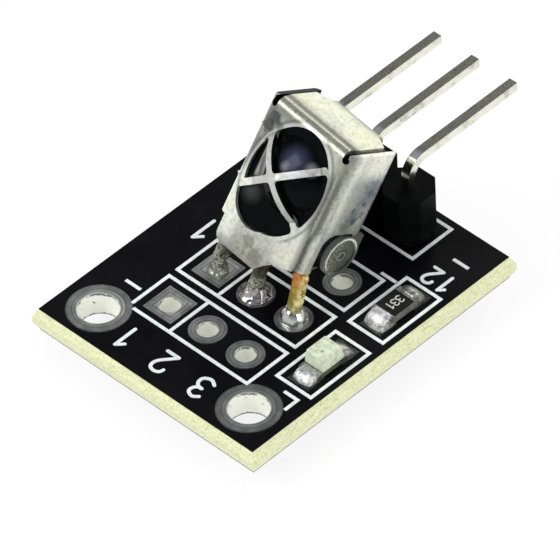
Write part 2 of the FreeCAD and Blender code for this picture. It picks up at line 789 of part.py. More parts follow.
def receiver_moulding():
    """Black moulded block that fills the shield, with a round lens under the bars."""
    owner = receiver_body_object("moulding")
    block = sketch(owner, "block_outline", offset="moulding_drop")
    inside = f"({HALF_SHIELD} - sheet)"
    rectangle(block, f"-{inside}", inside, "sheet", "shield_depth - sheet")
    solid = pad(owner, "block", block, "shield_height - sheet - moulding_drop")
    half = value(inside)
    front = value("sheet")
    rear = value("shield_depth - sheet")
    front_round = dress(owner, "Fillet", "block_front_round", solid, "front_fold - sheet",
                        lambda m, a, e: vertical(a) and near(abs(m.x), half) and near(m.y, front))
    rear_round = dress(owner, "Fillet", "block_rear_round", front_round, "rear_fold - sheet",
                       lambda m, a, e: vertical(a) and near(abs(m.x), half) and near(m.y, rear))
    crown = value("shield_height - sheet")
    dress(owner, "Fillet", "block_top_round", rear_round, "front_fold - sheet",
          lambda m, a, e: abs(a.x) > 0.99 and near(m.y, front) and near(m.z, crown))
    radius = f"({DOME_RADIUS} - sheet - lens_gap)"
    root = "(2 * sheet)"
    rim = f"sqrt({radius}^2 - ({DOME_CENTRE} - {root})^2)"
    corners = [(f"{DOME_CENTRE} - {radius}", "0"), (root, rim), (root, "0")]
    return turned_section(owner, "lens", [radius, None, None], corners)


def receiver_leads():
    """Three flat leads: inside the moulding they follow its lean, then run down into their holes."""
    frame = receiver_placement()
    width = value("lead_width")
    thickness = value("lead_thickness")
    depth = value("lead_depth")
    board_top = value("board_thickness")
    inner_spread = value("shield_width / 2 - sheet - lead_width / 2 - lead_clearance")
    leads = []

    def section(placement):
        corners = [(-1, -1), (1, -1), (1, 1), (-1, 1)]
        points = [placement.multVec(FreeCAD.Vector(a * width / 2, b * thickness / 2, 0)) for a, b in corners]
        return Part.makePolygon(points + points[:1])

    for i in range(3):
        across = (i - 1) * inner_spread
        heights = (value("lead_anchor"), value("moulding_drop"))
        stations = [frame.multiply(FreeCAD.Placement(FreeCAD.Vector(across, depth, z), FreeCAD.Rotation()))
                    for z in heights]
        hole_x = value(row_x(i))
        hole_y = value("receiver_row")
        for height in (board_top + value("lead_upright"), -value("tail_length")):
            stations.append(FreeCAD.Placement(FreeCAD.Vector(hole_x, hole_y, height), FreeCAD.Rotation()))
        shape = Part.makeLoft([section(s) for s in stations], True, True)
        if i == 1:
            wide = value("paddle_width")
            paddle = Part.makeBox(wide, thickness, value("paddle_height"),
                                  FreeCAD.Vector(-wide / 2, depth - thickness / 2, value("lead_anchor")))
            paddle.Placement = frame
            shape = shape.fuse(paddle).removeSplitter()
        lead = doc.addObject("Part::Feature", f"lead{i + 1}")
        lead.Shape = shape
        leads.append(node(f"receiver_lead_{i + 1}", lead))
    return leads


def receiver_dies():
    """Photodiode behind the lens and amplifier chip below it, both on the middle lead's paddle."""
    face = "(lead_depth - lead_thickness / 2)"
    made = []
    for name, size, middle in (
            ("photodiode_die", "die_size", "(window_height + die_clearance)"),
            ("amplifier_chip", "chip_size",
             "(window_height - die_size / 2 - chip_size / 2)")):
        owner = receiver_body_object(f"{name}_body")
        square = sketch(owner, f"{name}_outline", "XZ_Plane", offset=f"-{face}")
        rectangle(square, f"-{size} / 2", f"{size} / 2", f"{middle} - {size} / 2", f"{middle} + {size} / 2")
        pad(owner, f"{name}_pad", square, "die_thickness")
        made.append(node(name, owner))
    return made


def receiver():
    receiver_shield()
    leads = receiver_leads()
    dies = receiver_dies()
    block = receiver_moulding()
    node("receiver_moulding", cut("moulding_filled", block, fuse("moulding_contents", leads + dies)))
    return leads


def solder_joint(name, x, y, pin, top_height):
    """Solder round one pin: a cone below, the filled hole, and a dome above where there is one."""
    low = cone(f"{name}_cone", x, y, "-under_solder_height", "under_solder_top",
               "pad_radius * solder_spread", f"under_solder_height + {LAMINATE_BOTTOM} - land_thickness")
    core = cylinder(f"{name}_core", x, y, f"{LAMINATE_BOTTOM} - land_thickness", "hole_radius",
                    f"{LAND_TOP} - {LAMINATE_BOTTOM} + land_thickness")
    pieces = [low, core]
    if top_height:
        dome = doc.addObject("Part::Ellipsoid", f"{name}_dome")
        dome.Angle1 = 0
        spread = "pad_radius * solder_spread"
        bind(dome, Radius1=top_height, Radius2=spread, Radius3=spread)
        pieces.append(place(dome, x, y, LAND_TOP))
    return node(name, cut(f"{name}_solder", fuse(f"{name}_solid", pieces), pin))


def header_pins():
    """Square pins: up through the board and the strip, then turned over towards the rear."""
    pins = []
    for i in range(3):
        owner = body(f"pin_body{i + 1}")
        place(owner, row_x(i), "header_row", "0")
        half = "pin_size / 2"
        section = sketch(owner, f"pin_section{i + 1}", offset="-tail_length")
        rectangle(section, f"-{half}", half, f"-{half}", half)
        route = sketch(owner, f"pin_route{i + 1}", "YZ_Plane")
        top = value("board_thickness + pin_axis_height")
        bend = value("pin_bend")
        tail = -value("tail_length")
        hub = FreeCAD.Vector(bend, top - bend, 0)
        rise = route.addGeometry(Part.LineSegment(FreeCAD.Vector(0, tail, 0),
                                                  FreeCAD.Vector(0, top - bend, 0)), False)
        ring = Part.Circle(hub, FreeCAD.Vector(0, 0, 1), bend)
        turn = route.addGeometry(Part.ArcOfCircle(ring, math.pi / 2, math.pi), False)
        run = route.addGeometry(Part.LineSegment(FreeCAD.Vector(bend, top, 0),
                                                 FreeCAD.Vector(value("pin_reach"), top, 0)), False)
        route.addConstraint(Sketcher.Constraint("Tangent", rise, 2, turn, 2))
        route.addConstraint(Sketcher.Constraint("Tangent", turn, 1, run, 1))
        route.addConstraint(Sketcher.Constraint("Vertical", rise))
        route.addConstraint(Sketcher.Constraint("Horizontal", run))
        size = route.addConstraint(Sketcher.Constraint("Radius", turn, bend))
        route.renameConstraint(size, "bend_r")
        route.setExpression("Constraints.bend_r", formula("pin_bend"))
        pin_down(route, rise, 1, "0", "-tail_length", "tail")
        pin_down(route, run, 2, "pin_reach", "board_thickness + pin_axis_height", "end")
        pipe = owner.newObject("PartDesign::AdditivePipe", f"pin_pipe{i + 1}")
        pipe.Profile = section
        pipe.Spine = (route, ["Edge1", "Edge2", "Edge3"])
        reach = value("pin_reach")
        dress(owner, "Chamfer", f"pin_points{i + 1}", pipe, "pin_point",
              lambda m, a, e: near(m.y, reach) or near(m.z, tail))
        pins.append(node(f"header_pin_{i + 1}", owner))
    return pins


def header_strip(pins):
    """Black strip of three eight-sided cells, held off the board by its pins."""
    owner = body("strip_body")
    place(owner, "rows_middle", "header_row", "board_thickness + strip_raise")
    section = sketch(owner, "strip_section")
    front = "-strip_width / 2"
    back = "strip_width / 2"
    lower = []
    upper = []
    for i in range(3):
        left = f"({i - 1.5} * pitch)"
        right = f"({i - 0.5} * pitch)"
        if i == 0:
            lower.append((left, f"{front} + strip_chamfer"))
            upper.append((left, f"{back} - strip_chamfer"))
        lower += [(f"{left} + strip_chamfer", front), (f"{right} - strip_chamfer", front),
                  (right, f"{front} + strip_chamfer")]
        upper += [(f"{left} + strip_chamfer", back), (f"{right} - strip_chamfer", back),
                  (right, f"{back} - strip_chamfer")]
    outline(section, lower + upper[::-1])
    pad(owner, "strip", section, "strip_height")
    return node("header_strip", cut("strip_bored", owner, fuse("strip_pins", pins)))


def chip_caps(chip, y, height):
    """Metal caps wrapped round the two ends of a chip part, and the slab they wrap."""
    base = slab(f"{chip}_slab", CHIPS_X, y, f"{LAND_TOP} + chip_cap_wall",
                "chip_width", "chip_length", f"{height} - 2 * chip_cap_wall")
    for end, word in ((-1, "front"), (1, "rear")):
        middle = f"{y} + {end} * (chip_length / 2 + chip_cap_wall - chip_cap / 2)"
        cap = slab(f"{chip}_cap_{word}", CHIPS_X, middle, LAND_TOP,
                   "chip_width", "chip_cap", height)
        node(f"{chip}_terminal_{word}", cut(f"{chip}_end_{word}", cap, base))
    return base


def chip_solder(chip, y, height):
    """A rounded wedge of solder from each cap down to its land."""
    for end, word in ((-1, "front"), (1, "rear")):
        owner = body(f"{chip}_solder_body_{word}")
        place(owner, CHIPS_X, f"{y} + {end} * (chip_length / 2 + chip_cap_wall)", LAND_TOP)
        side = sketch(owner, f"{chip}_wedge_{word}", "YZ_Plane")
        rise = f"({height} * chip_solder_rise)"
        outline(side, [
            ("0", "0"), (f"{end} * chip_solder_length", "0"),
            (f"{end} * chip_solder_length * chip_solder_shoulder", f"{rise} * chip_solder_shoulder"),
            ("0", rise),
        ])
        pad(owner, f"{chip}_wedge_pad_{word}", side, "chip_solder_width", middle=True)
        node(f"{chip}_solder_{word}", owner)


def resistor():
    base = chip_caps("resistor", "resistor_y", "resistor_height")
    node("resistor_substrate", base)
    coat = slab("coat", CHIPS_X, "resistor_y", f"{LAND_TOP} + resistor_height - chip_cap_wall",
                "chip_width", "chip_length - 2 * chip_cap + 2 * chip_cap_wall", "coat_thickness")
    node("resistor_coat", coat)
    chip_solder("resistor", "resistor_y", "resistor_height")


def lamp():
    base = chip_caps("lamp", "lamp_y", "lamp_base_height")
    node("lamp_base", base)
    floor = f"({LAND_TOP} + lamp_base_height - chip_cap_wall)"
    die = slab("light_die_slab", CHIPS_X, "lamp_y", floor, "light_die", "light_die", "light_die_height")
    node("lamp_die", die)
    owner = body("lamp_lens_body")
    place(owner, CHIPS_X, "lamp_y", floor)
    face = sketch(owner, "lamp_lens_outline")
    rectangle(face, "-chip_width / 2", "chip_width / 2", "-lens_length / 2", "lens_length / 2")
    block = pad(owner, "lamp_lens_pad", face, "lens_height")
    crown = value("lens_height")
    dress(owner, "Fillet", "lamp_lens_round", block, "lens_round", lambda m, a, e: near(m.z, crown))
    node("lamp_lens", cut("lamp_lens_cavity", owner, die))
    chip_solder("lamp", "lamp_y", "lamp_base_height")


def joints(leads, pins):
    tops = ("small_joint_height", "middle_joint_height", "right_joint_height")
    for i in range(3):
        solder_joint(f"receiver_joint_{i + 1}", row_x(i), "receiver_row", leads[i], tops[i])
        solder_joint(f"header_joint_{i + 1}", row_x(i), "header_row", pins[i], None)


def check_and_write():
    """Stop if any object failed, then write one file for each named piece."""
    doc.recompute()
    failed = [o.Name for o in doc.Objects if "Invalid" in o.State or "Error" in o.State]
    bad = [name for name, item in NODES.items()
           if item.Shape.isNull() or not item.Shape.isValid() or not item.Shape.Solids]
    if failed or bad:
        raise RuntimeError(f"objects that failed: {failed}; pieces without a sound solid: {bad}")
    os.makedirs("parts", exist_ok=True)
    for name, item in NODES.items():
        item.Shape.exportStep(f"parts/{name}.step")
        print(f"{name}: {len(item.Shape.Solids)} solids, {item.Shape.Volume:.4f} mm3")


def main():
    board_laminate()
    solder_mask("solder_mask_top", LAMINATE_TOP, True)
    solder_mask("solder_mask_bottom", "0", False)
    plating()
    chip_lands()
    legend_print()
    leads = receiver()
    pins = header_pins()
    header_strip(pins)
    joints(leads, pins)
    resistor()
    lamp()
    check_and_write()


main()
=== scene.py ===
import bpy
import bmesh
import math
from mathutils import Euler, Matrix, Quaternion, Vector, noise


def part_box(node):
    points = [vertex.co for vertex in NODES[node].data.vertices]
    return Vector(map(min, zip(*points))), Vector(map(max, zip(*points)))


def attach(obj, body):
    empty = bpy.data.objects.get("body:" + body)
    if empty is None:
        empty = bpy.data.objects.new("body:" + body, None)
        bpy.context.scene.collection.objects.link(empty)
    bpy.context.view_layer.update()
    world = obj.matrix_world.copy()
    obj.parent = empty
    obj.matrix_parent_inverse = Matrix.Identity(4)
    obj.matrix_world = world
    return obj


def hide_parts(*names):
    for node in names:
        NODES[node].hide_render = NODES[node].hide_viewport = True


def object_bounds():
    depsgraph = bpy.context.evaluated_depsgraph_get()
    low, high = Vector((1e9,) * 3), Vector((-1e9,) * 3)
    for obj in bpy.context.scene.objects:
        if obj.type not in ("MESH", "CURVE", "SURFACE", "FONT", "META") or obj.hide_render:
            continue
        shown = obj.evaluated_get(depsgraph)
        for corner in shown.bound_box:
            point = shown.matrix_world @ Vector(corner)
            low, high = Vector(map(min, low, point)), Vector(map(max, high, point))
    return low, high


# Infrared receiver module dressed for a picture: solder, print, stains and wear, and painted light and
# shade, over the imported solids.
# Lengths are millimetres until MM turns them into metres. The floor and the lamps are in metres.

MM = 0.001
CORNERS = ((-1, -1), (1, -1), (1, 1), (-1, 1))
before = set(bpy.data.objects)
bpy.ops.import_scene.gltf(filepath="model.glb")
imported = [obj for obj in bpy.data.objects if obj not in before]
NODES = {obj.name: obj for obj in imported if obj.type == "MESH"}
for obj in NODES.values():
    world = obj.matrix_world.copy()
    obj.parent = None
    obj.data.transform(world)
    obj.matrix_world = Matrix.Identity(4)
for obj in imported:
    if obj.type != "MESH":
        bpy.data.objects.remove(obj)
cad_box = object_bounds()

# Places shared with the solids, in the part's frame
TOP = 1.4
ROWS_X = -0.13
PITCH = 2.54
RECEIVER_ROW = 5.82
HEADER_ROW = 14.0
ROWS_Y = (2.49, RECEIVER_ROW, 9.2, HEADER_ROW)
ROW_BOX = (7.96, 2.76)
CHIPS_X = 5.67
CHIPS_Y = (4.49, 9.47)
CHIP_BOX = (2.24, 4.04)
MOUNT_X = 5.07
MOUNT_RADIUS = 1.06
LUG_MIDDLE = (2.62, 0.87)
WINDOW_MIDDLE = (-0.06, 3.41)
WINDOW_HALF = (2.28, 3.06)
WINDOW_LEAN = math.radians(15)
INK_THICKNESS = 0.03
RECEIVER_PLACE = Vector((-0.13, 6.16, 4.67))
RECEIVER_TURN = Euler((math.radians(-30), math.radians(4.3), math.radians(-4.5)), "XYZ")


# Mesh helpers

def add_object(name, mesh, material, replaces=()):
    piece = bpy.data.objects.new(name, mesh)
    bpy.context.scene.collection.objects.link(piece)
    piece.data.materials.append(material)
    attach(piece, "root")
    if replaces:
        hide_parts(*replaces)
    return piece


def mesh_from(name, bm, smooth=True):
    for v in bm.verts:
        v.co *= MM
    mesh = bpy.data.meshes.new(name)
    bm.normal_update()
    bm.to_mesh(mesh)
    bm.free()
    for polygon in mesh.polygons:
        polygon.use_smooth = smooth
    return mesh


def skin(bm, rings):
    """Faces between rings of as many points, and one over each end."""
    for low, high in zip(rings, rings[1:]):
        for k in range(len(low)):
            j = (k + 1) % len(low)
            bm.faces.new((low[k], low[j], high[j], high[k]))
    bm.faces.new(rings[0][::-1])
    bm.faces.new(rings[-1])


def lump(name, centre, profile, material, rough, grain, seed, replaces=(), segments=48):
    """A turned blob of solder with an uneven surface; profile is radius and height from the bottom up."""
    bm = bmesh.new()
    rings = []
    for radius, height in profile:
        ring = []
        for k in range(segments):
            angle = 2 * math.pi * k / segments
            ring.append(bm.verts.new((centre[0] + radius * math.cos(angle),
                                      centre[1] + radius * math.sin(angle), centre[2] + height)))
        rings.append(ring)
    skin(bm, rings)
    bm.normal_update()
    lowest = profile[0][1]
    span = max(h for _, h in profile) - lowest
    for v in bm.verts:
        share = min(1.0, (v.co.z - centre[2] - lowest) / (0.25 * span + 1e-6))
        v.co += v.normal * noise.noise(Vector(v.co) * grain + Vector((seed, seed, seed))) * rough * share
    return add_object(name, mesh_from(name, bm), material, replaces)


# Material helpers

def new_material(name):
    material = bpy.data.materials.new(name)
    material.use_nodes = True
    tree = material.node_tree
    tree.nodes.clear()
    output = tree.nodes.new("ShaderNodeOutputMaterial")
    shader = tree.nodes.new("ShaderNodeBsdfPrincipled")
    tree.links.new(shader.outputs[0], output.inputs[0])
    return material, tree, shader


def linear(*rgb):
    """Colour as seen, 0 to 255, to the light it stands for."""
    out = []
    for c in rgb:
        c = c / 255
        out.append(c / 12.92 if c <= 0.04045 else ((c + 0.055) / 1.055) ** 2.4)
    return (*out, 1.0)


def place_in_mm(tree, location=(0, 0, 0), rotation=(0, 0, 0)):
    """Position in millimetres, in the part's frame or in one that is moved and turned in it."""
    where = tree.nodes.new("ShaderNodeTexCoord")
    mapping = tree.nodes.new("ShaderNodeMapping")
    mapping.vector_type = "TEXTURE"
    mapping.inputs["Location"].default_value = [c * MM for c in location]
    mapping.inputs["Rotation"].default_value = rotation
    mapping.inputs["Scale"].default_value = (MM, MM, MM)
    tree.links.new(where.outputs["Object"], mapping.inputs["Vector"])
    return mapping.outputs[0]


def noise_node(tree, vector, scale, detail=4.0, rough=0.55, stretch=None):
    if stretch:
        mapping = tree.nodes.new("ShaderNodeMapping")
        mapping.inputs["Scale"].default_value = stretch
        tree.links.new(vector, mapping.inputs["Vector"])
        vector = mapping.outputs[0]
    item = tree.nodes.new("ShaderNodeTexNoise")
    item.inputs["Scale"].default_value = scale
    item.inputs["Detail"].default_value = detail
    item.inputs["Roughness"].default_value = rough
    tree.links.new(vector, item.inputs["Vector"])
    return item.outputs["Fac"]


def ramp(tree, factor, stops):
    item = tree.nodes.new("ShaderNodeValToRGB")
    elements = item.color_ramp.elements
    elements.remove(elements[1])
    elements[0].position, elements[0].color = stops[0]
    for position, colour in stops[1:]:
        elements.new(position).color = colour
    tree.links.new(factor, item.inputs[0])
    return item.outputs[0]


def grey(v):
    return (v, v, v, 1.0)


def step(tree, value, low, high):
    """0 below low and 1 above high, smooth between; falls instead when low is the larger."""
    item = tree.nodes.new("ShaderNodeMapRange")
    item.interpolation_type = "SMOOTHSTEP"
    item.inputs["From Min"].default_value = min(low, high)
    item.inputs["From Max"].default_value = max(low, high)
    item.inputs["To Min"].default_value = 0.0 if low < high else 1.0
    item.inputs["To Max"].default_value = 1.0 if low < high else 0.0
    tree.links.new(value, item.inputs["Value"])
    return item.outputs["Result"]


def tones(tree, value, stops):
    """A grey that follows value: stops are (value, brightness) pairs in rising order."""
    low, high = stops[0][0], stops[-1][0]
    share = maths(tree, "DIVIDE", minus(tree, value, low), high - low, clamp=True)
    return ramp(tree, share, [((v - low) / (high - low), grey(b)) for v, b in stops])


def give(tree, socket, given):
    """Set a socket to a number or a colour, or link another socket to it."""
    if isinstance(given, (int, float, tuple)):
        socket.default_value = given
    else:
        tree.links.new(given, socket)


def maths(tree, operation, a, b=None, c=None, clamp=False):
    item = tree.nodes.new("ShaderNodeMath")
    item.operation = operation
    item.use_clamp = clamp
    for socket, given in zip(item.inputs, (a, b, c)):
        if given is not None:
            give(tree, socket, given)
    return item.outputs[0]


def product(tree, *values):
    result = values[0]
    for value in values[1:]:
        result = maths(tree, "MULTIPLY", result, value)
    return result


def largest(tree, *values):
    result = values[0]
    for value in values[1:]:
        result = maths(tree, "MAXIMUM", result, value)
    return result


def minus(tree, a, b):
    return maths(tree, "SUBTRACT", a, b)


def plus(tree, base, value, weight):
    """The base with value, times weight, added."""
    return maths(tree, "ADD", base, product(tree, value, weight))


def hypot(tree, a, b):
    return maths(tree, "SQRT", plus(tree, product(tree, a, a), b, b))


def components(tree, vector):
    item = tree.nodes.new("ShaderNodeSeparateXYZ")
    tree.links.new(vector, item.inputs[0])
    return item.outputs[0], item.outputs[1], item.outputs[2]


def vector_value(tree, operation, vector, fixed):
    """The distance or the dot product of a vector and a fixed one."""
    item = tree.nodes.new("ShaderNodeVectorMath")
    item.operation = operation
    tree.links.new(vector, item.inputs[0])
    item.inputs[1].default_value = fixed
    return item.outputs["Value"]


def facing(tree, axis):
    """How far the surface faces along a fixed direction of the part, from -1 to 1."""
    geometry = tree.nodes.new("ShaderNodeNewGeometry")
    return vector_value(tree, "DOT_PRODUCT", geometry.outputs["True Normal"], axis)


def blend_colour(tree, factor, a, b, kind="MIX"):
    item = tree.nodes.new("ShaderNodeMix")
    item.data_type = "RGBA"
    item.blend_type = kind
    for socket, given in ((item.inputs[0], factor), (item.inputs[6], a), (item.inputs[7], b)):
        give(tree, socket, given)
    return item.outputs[2]


def surface(tree, shader, colour, rough, metallic=0.0):
    """Give the shader its colour, roughness and metallic, each a value or a socket."""
    for name, given in (("Base Color", colour), ("Roughness", rough), ("Metallic", metallic)):
        give(tree, shader.inputs[name], given)


def bump(tree, shader, height, strength, distance):
    item = tree.nodes.new("ShaderNodeBump")
    item.inputs["Strength"].default_value = strength
    item.inputs["Distance"].default_value = distance * MM
    tree.links.new(height, item.inputs["Height"])
    tree.links.new(item.outputs[0], shader.inputs["Normal"])


def simple(name, dark, light, rough, metallic, grain, wear, relief, specular=0.5):
    """Colour that drifts between two tones with its own fine relief and uneven gloss."""
    material, tree, shader = new_material(name)
    here = place_in_mm(tree)
    broad = noise_node(tree, here, grain * 0.25, 3.0)
    fine = noise_node(tree, here, grain, 6.0, 0.65)
    both = plus(tree, product(tree, broad, 0.5), fine, 0.5)
    gloss = ramp(tree, fine, [(0.3, grey(max(0.02, rough - wear * rough))),
                              (0.7, grey(min(1.0, rough + wear * rough)))])
    surface(tree, shader, ramp(tree, both, [(0.36, dark), (0.64, light)]), gloss, metallic)
    shader.inputs["Specular IOR Level"].default_value = specular
    bump(tree, shader, fine, 0.6, relief)
    return material


def dress(material, *names):
    for name in names:
        data = NODES[name].data
        data.materials.clear()
        data.materials.append(material)


# Board

laminate, tree, shader = new_material("laminate_edge")
here = place_in_mm(tree)
layers = noise_node(tree, here, 2.0, 5.0, 0.7, (0.8, 0.8, 4.0))
fibres = noise_node(tree, here, 8.0, 6.0, 0.75)
tone = plus(tree, product(tree, layers, 0.35), fibres, 0.65)
upper_tone = ramp(tree, tone, [(0.34, linear(166, 170, 120)), (0.48, linear(206, 210, 166)),
                               (0.64, linear(226, 229, 194))])
lower_tone = ramp(tree, tone, [(0.34, linear(188, 190, 158)), (0.5, linear(218, 220, 194)),
                               (0.64, linear(238, 239, 218))])
depth_in = components(tree, here)[2]
foot = step(tree, plus(tree, depth_in, fibres, 0.5), 0.95, 0.45)
tone = blend_colour(tree, foot, upper_tone, lower_tone)
up = step(tree, facing(tree, (0, 0, 1)), 0.5, 0.8)
surface(tree, shader, blend_colour(tree, up, tone, (0.006, 0.006, 0.005, 1)), 0.75)
bump(tree, shader, fibres, 0.5, 0.05)
dress(laminate, "board_laminate")

mask, tree, shader = new_material("solder_mask")
here = place_in_mm(tree)
haze = noise_node(tree, here, 0.35, 3.0)
dust = noise_node(tree, here, 14.0, 4.0, 0.6)
surface(tree, shader, ramp(tree, haze, [(0.3, (0.0012, 0.0012, 0.0018, 1)),
                                        (0.7, (0.0026, 0.0026, 0.0036, 1))]),
        ramp(tree, haze, [(0.3, grey(0.26)), (0.7, grey(0.38))]))
shader.inputs["Specular IOR Level"].default_value = 0.12
bump(tree, shader, dust, 0.25, 0.012)
dress(mask, "solder_mask_top", "solder_mask_bottom")


def ringed(name, middle_x, middle_y, pitch, hole, stops):
    """Tinned rings round one or more holes: bands by distance, and a pale barrel below them."""
    material, tree, shader = new_material(name)
    here = place_in_mm(tree)
    x, y, z = components(tree, here)
    if pitch:
        across = maths(tree, "WRAP", minus(tree, x, middle_x), pitch / 2, -pitch / 2)
    else:
        across = minus(tree, maths(tree, "ABSOLUTE", x), middle_x)
    along = minus(tree, y, middle_y)
    reach = hypot(tree, across, along)
    if pitch:
        square = largest(tree, maths(tree, "ABSOLUTE", across), maths(tree, "ABSOLUTE", along),
                         maths(tree, "MINIMUM", reach, hole + 0.08))
        first = step(tree, x, middle_x - 1.2, middle_x - 1.35)
        mixed = tree.nodes.new("ShaderNodeMix")
        tree.links.new(first, mixed.inputs[0])
        tree.links.new(reach, mixed.inputs[2])
        tree.links.new(square, mixed.inputs[3])
        reach = mixed.outputs[0]
    grain = noise_node(tree, here, 7.0, 5.0, 0.65)
    broad = noise_node(tree, here, 1.6, 3.0)
    wobble = plus(tree, reach, minus(tree, grain, 0.5), 0.07)
    tone = tones(tree, wobble, stops)
    tone = blend_colour(tree, 1.0, tone, ramp(tree, broad, [(0.3, linear(182, 186, 178)),
                                                            (0.7, linear(236, 238, 232))]), "MULTIPLY")
    inside = step(tree, z, TOP - 0.015, TOP - 0.05)
    # Dark in the barrel: painted shade in patches just under the rim and at the bottom, and dark specks.
    ragged = plus(tree, z, minus(tree, grain, 0.5), 0.35)
    barrel_shade_and_specks = largest(tree, step(tree, ragged, 0.1, 0.04), product(tree, step(tree, ragged, 1.2, 1.26),
                                                                 step(tree, broad, 0.44, 0.54)),
                    step(tree, noise_node(tree, here, 3.4, 2.0), 0.7, 0.73))
    barrel = ramp(tree, grain, [(0.3, linear(222, 223, 208)), (0.42, linear(248, 249, 238)),
                                (0.9, linear(253, 253, 246))])
    barrel = blend_colour(tree, product(tree, barrel_shade_and_specks, 0.85), barrel, linear(60, 62, 56))
    tone = blend_colour(tree, inside, tone, barrel)
    surface(tree, shader, tone, tones(tree, grain, [(0.3, 0.3), (0.7, 0.5)]),
            tones(tree, inside, [(0.0, 0.95), (1.0, 0.45)]))
    steps = plus(tree, pressed_ring(tree, reach, hole), grain, 0.25)
    bump(tree, shader, steps, 0.45, 0.04)
    return material


def pressed_ring(tree, reach, hole):
    """A shallow ring pressed round the hole, for the bump."""
    return tones(tree, reach, [(hole, 0.2), (hole + 0.06, 0.9), (hole + 0.14, 0.9), (hole + 0.18, 0.5),
                               (hole + 0.5, 0.5), (hole + 0.6, 0.1)])


mount_rings = ringed("mounting_rings", MOUNT_X, 0.0, 0, MOUNT_RADIUS,
                     [(1.0, 0.75), (1.1, 0.85), (1.13, 0.5), (1.27, 0.66), (1.32, 0.28), (1.37, 0.46),
                      (1.55, 0.46), (1.6, 0.3), (1.65, 0.55)])
dress(mount_rings, "mount_plating_left", "mount_plating_right")
ROW_NAMES = ("spare_front_plating", "receiver_plating", "spare_rear_plating", "header_plating")
for row_name, row_y in zip(ROW_NAMES, ROWS_Y):
    bands = [(0.5, 0.75), (0.58, 0.9), (0.61, 0.16), (0.65, 0.62), (0.76, 0.68), (0.8, 0.4), (0.86, 0.55),
             (0.93, 0.62), (0.97, 0.25)]
    if row_name == "header_plating":
        bands = [(0.5, 0.4), (0.7, 0.12), (0.8, 0.02), (0.97, 0.01)]
    rings = ringed(f"{row_name}_rings", ROWS_X, row_y, PITCH, 0.5, bands)
    dress(rings, row_name)
plating = simple("tinned_lands", linear(48, 50, 47), linear(112, 115, 109), 0.42, 1.0, 7.0, 0.35, 0.02)
dress(plating, "resistor_lands", "lamp_lands")

ink = simple("legend_ink", linear(196, 204, 200), linear(232, 238, 235), 0.7, 0.0, 14.0, 0.1, 0.01)
dress(ink, "legend_print")

# Receiver

shield, tree, shader = new_material("tinned_sheet")
local = place_in_mm(tree, RECEIVER_PLACE, RECEIVER_TURN)
x, y, z = components(tree, local)
aside = maths(tree, "ABSOLUTE", x)
axes = RECEIVER_TURN.to_matrix().transposed()
clouds = noise_node(tree, local, 0.9, 2.0, 0.5)
grain = noise_node(tree, local, 4.5, 5.0, 0.6)
fine = noise_node(tree, local, 11.0, 4.0, 0.6)
loose = minus(tree, grain, 0.5)


def spot(x, y, z, radius, softness=0.5):
    """One at the point, falling to nothing at the radius, with an uneven edge."""
    reach = plus(tree, vector_value(tree, "DISTANCE", local, (x, y, z)), loose, radius * 1.1)
    return step(tree, reach, radius, radius * (1 - softness))


def stain(tone, amount, colour, *place):
    return blend_colour(tree, product(tree, spot(*place), amount), tone, colour)


# Painted light and shade round the right fold, in bands across the front plate, over the fold and back
# along the wall, at three heights
along = plus(tree, minus(tree, maths(tree, "ADD", x, y), 2.45), loose, 0.35)
low = tones(tree, along, [(-0.6, 0.86), (-0.35, 0.82), (-0.15, 0.52), (0.0, 0.34), (0.15, 0.1), (0.3, 0.22),
                          (0.45, 0.52), (0.75, 0.72), (1.05, 0.86), (1.3, 0.6), (1.8, 0.4)])
middle = tones(tree, along, [(-0.6, 0.5), (-0.15, 0.34), (0.0, 0.16), (0.12, 0.46), (0.3, 0.18), (0.5, 0.2),
                             (0.75, 0.5), (1.0, 0.66), (1.25, 1.0), (1.45, 0.85), (1.75, 0.6), (2.1, 0.56),
                             (2.4, 0.46), (2.75, 0.44), (3.05, 0.66), (3.45, 0.62), (3.75, 0.34),
                             (3.95, 0.7)])
high = tones(tree, along, [(-0.6, 0.48), (-0.1, 0.45), (0.1, 0.4), (0.4, 0.26), (0.75, 0.32), (1.0, 0.56),
                           (1.3, 0.9), (1.5, 0.95), (1.8, 0.8), (2.3, 0.95), (3.0, 1.0), (3.4, 0.95),
                           (3.75, 0.7), (3.95, 0.8)])
low_fold_light_and_shade = blend_colour(tree, step(tree, z, 1.7, 2.5), low, middle)
side = blend_colour(tree, step(tree, z, 4.9, 5.8), low_fold_light_and_shade, high)
# Painted light and shade on the front plate: brightest a little above the bottom and darker towards the
# top, with painted light low on the left, low on the right and at the top right, and painted shade high on
# the far left
front = tones(tree, plus(tree, z, loose, 1.2), [(-1.4, 0.34), (-0.7, 0.46), (0.2, 0.62), (1.0, 0.74),
                                                (2.2, 0.74), (3.0, 0.52), (5.0, 0.44), (6.0, 0.4),
                                                (6.3, 0.28), (6.6, 0.36)])
front = blend_colour(tree, product(tree, step(tree, x, -1.2, -2.0), step(tree, z, 2.7, 2.3),
                                   step(tree, z, -1.4, -0.6), 0.9), front, grey(0.98))
front = blend_colour(tree, product(tree, step(tree, x, 0.7, 1.4), step(tree, z, 1.9, 1.5),
                                   step(tree, z, -0.8, 0.0), 0.8), front, grey(0.82))
front = blend_colour(tree, product(tree, step(tree, x, -1.9, -2.3), step(tree, z, 2.6, 3.2), 0.6), front,
                     grey(0.3))
front = blend_colour(tree, product(tree, step(tree, x, 0.9, 1.7), step(tree, z, 4.9, 5.5), 0.6), front,
                     grey(0.8))
tone = blend_colour(tree, step(tree, along, -0.45, -0.15), front, side)
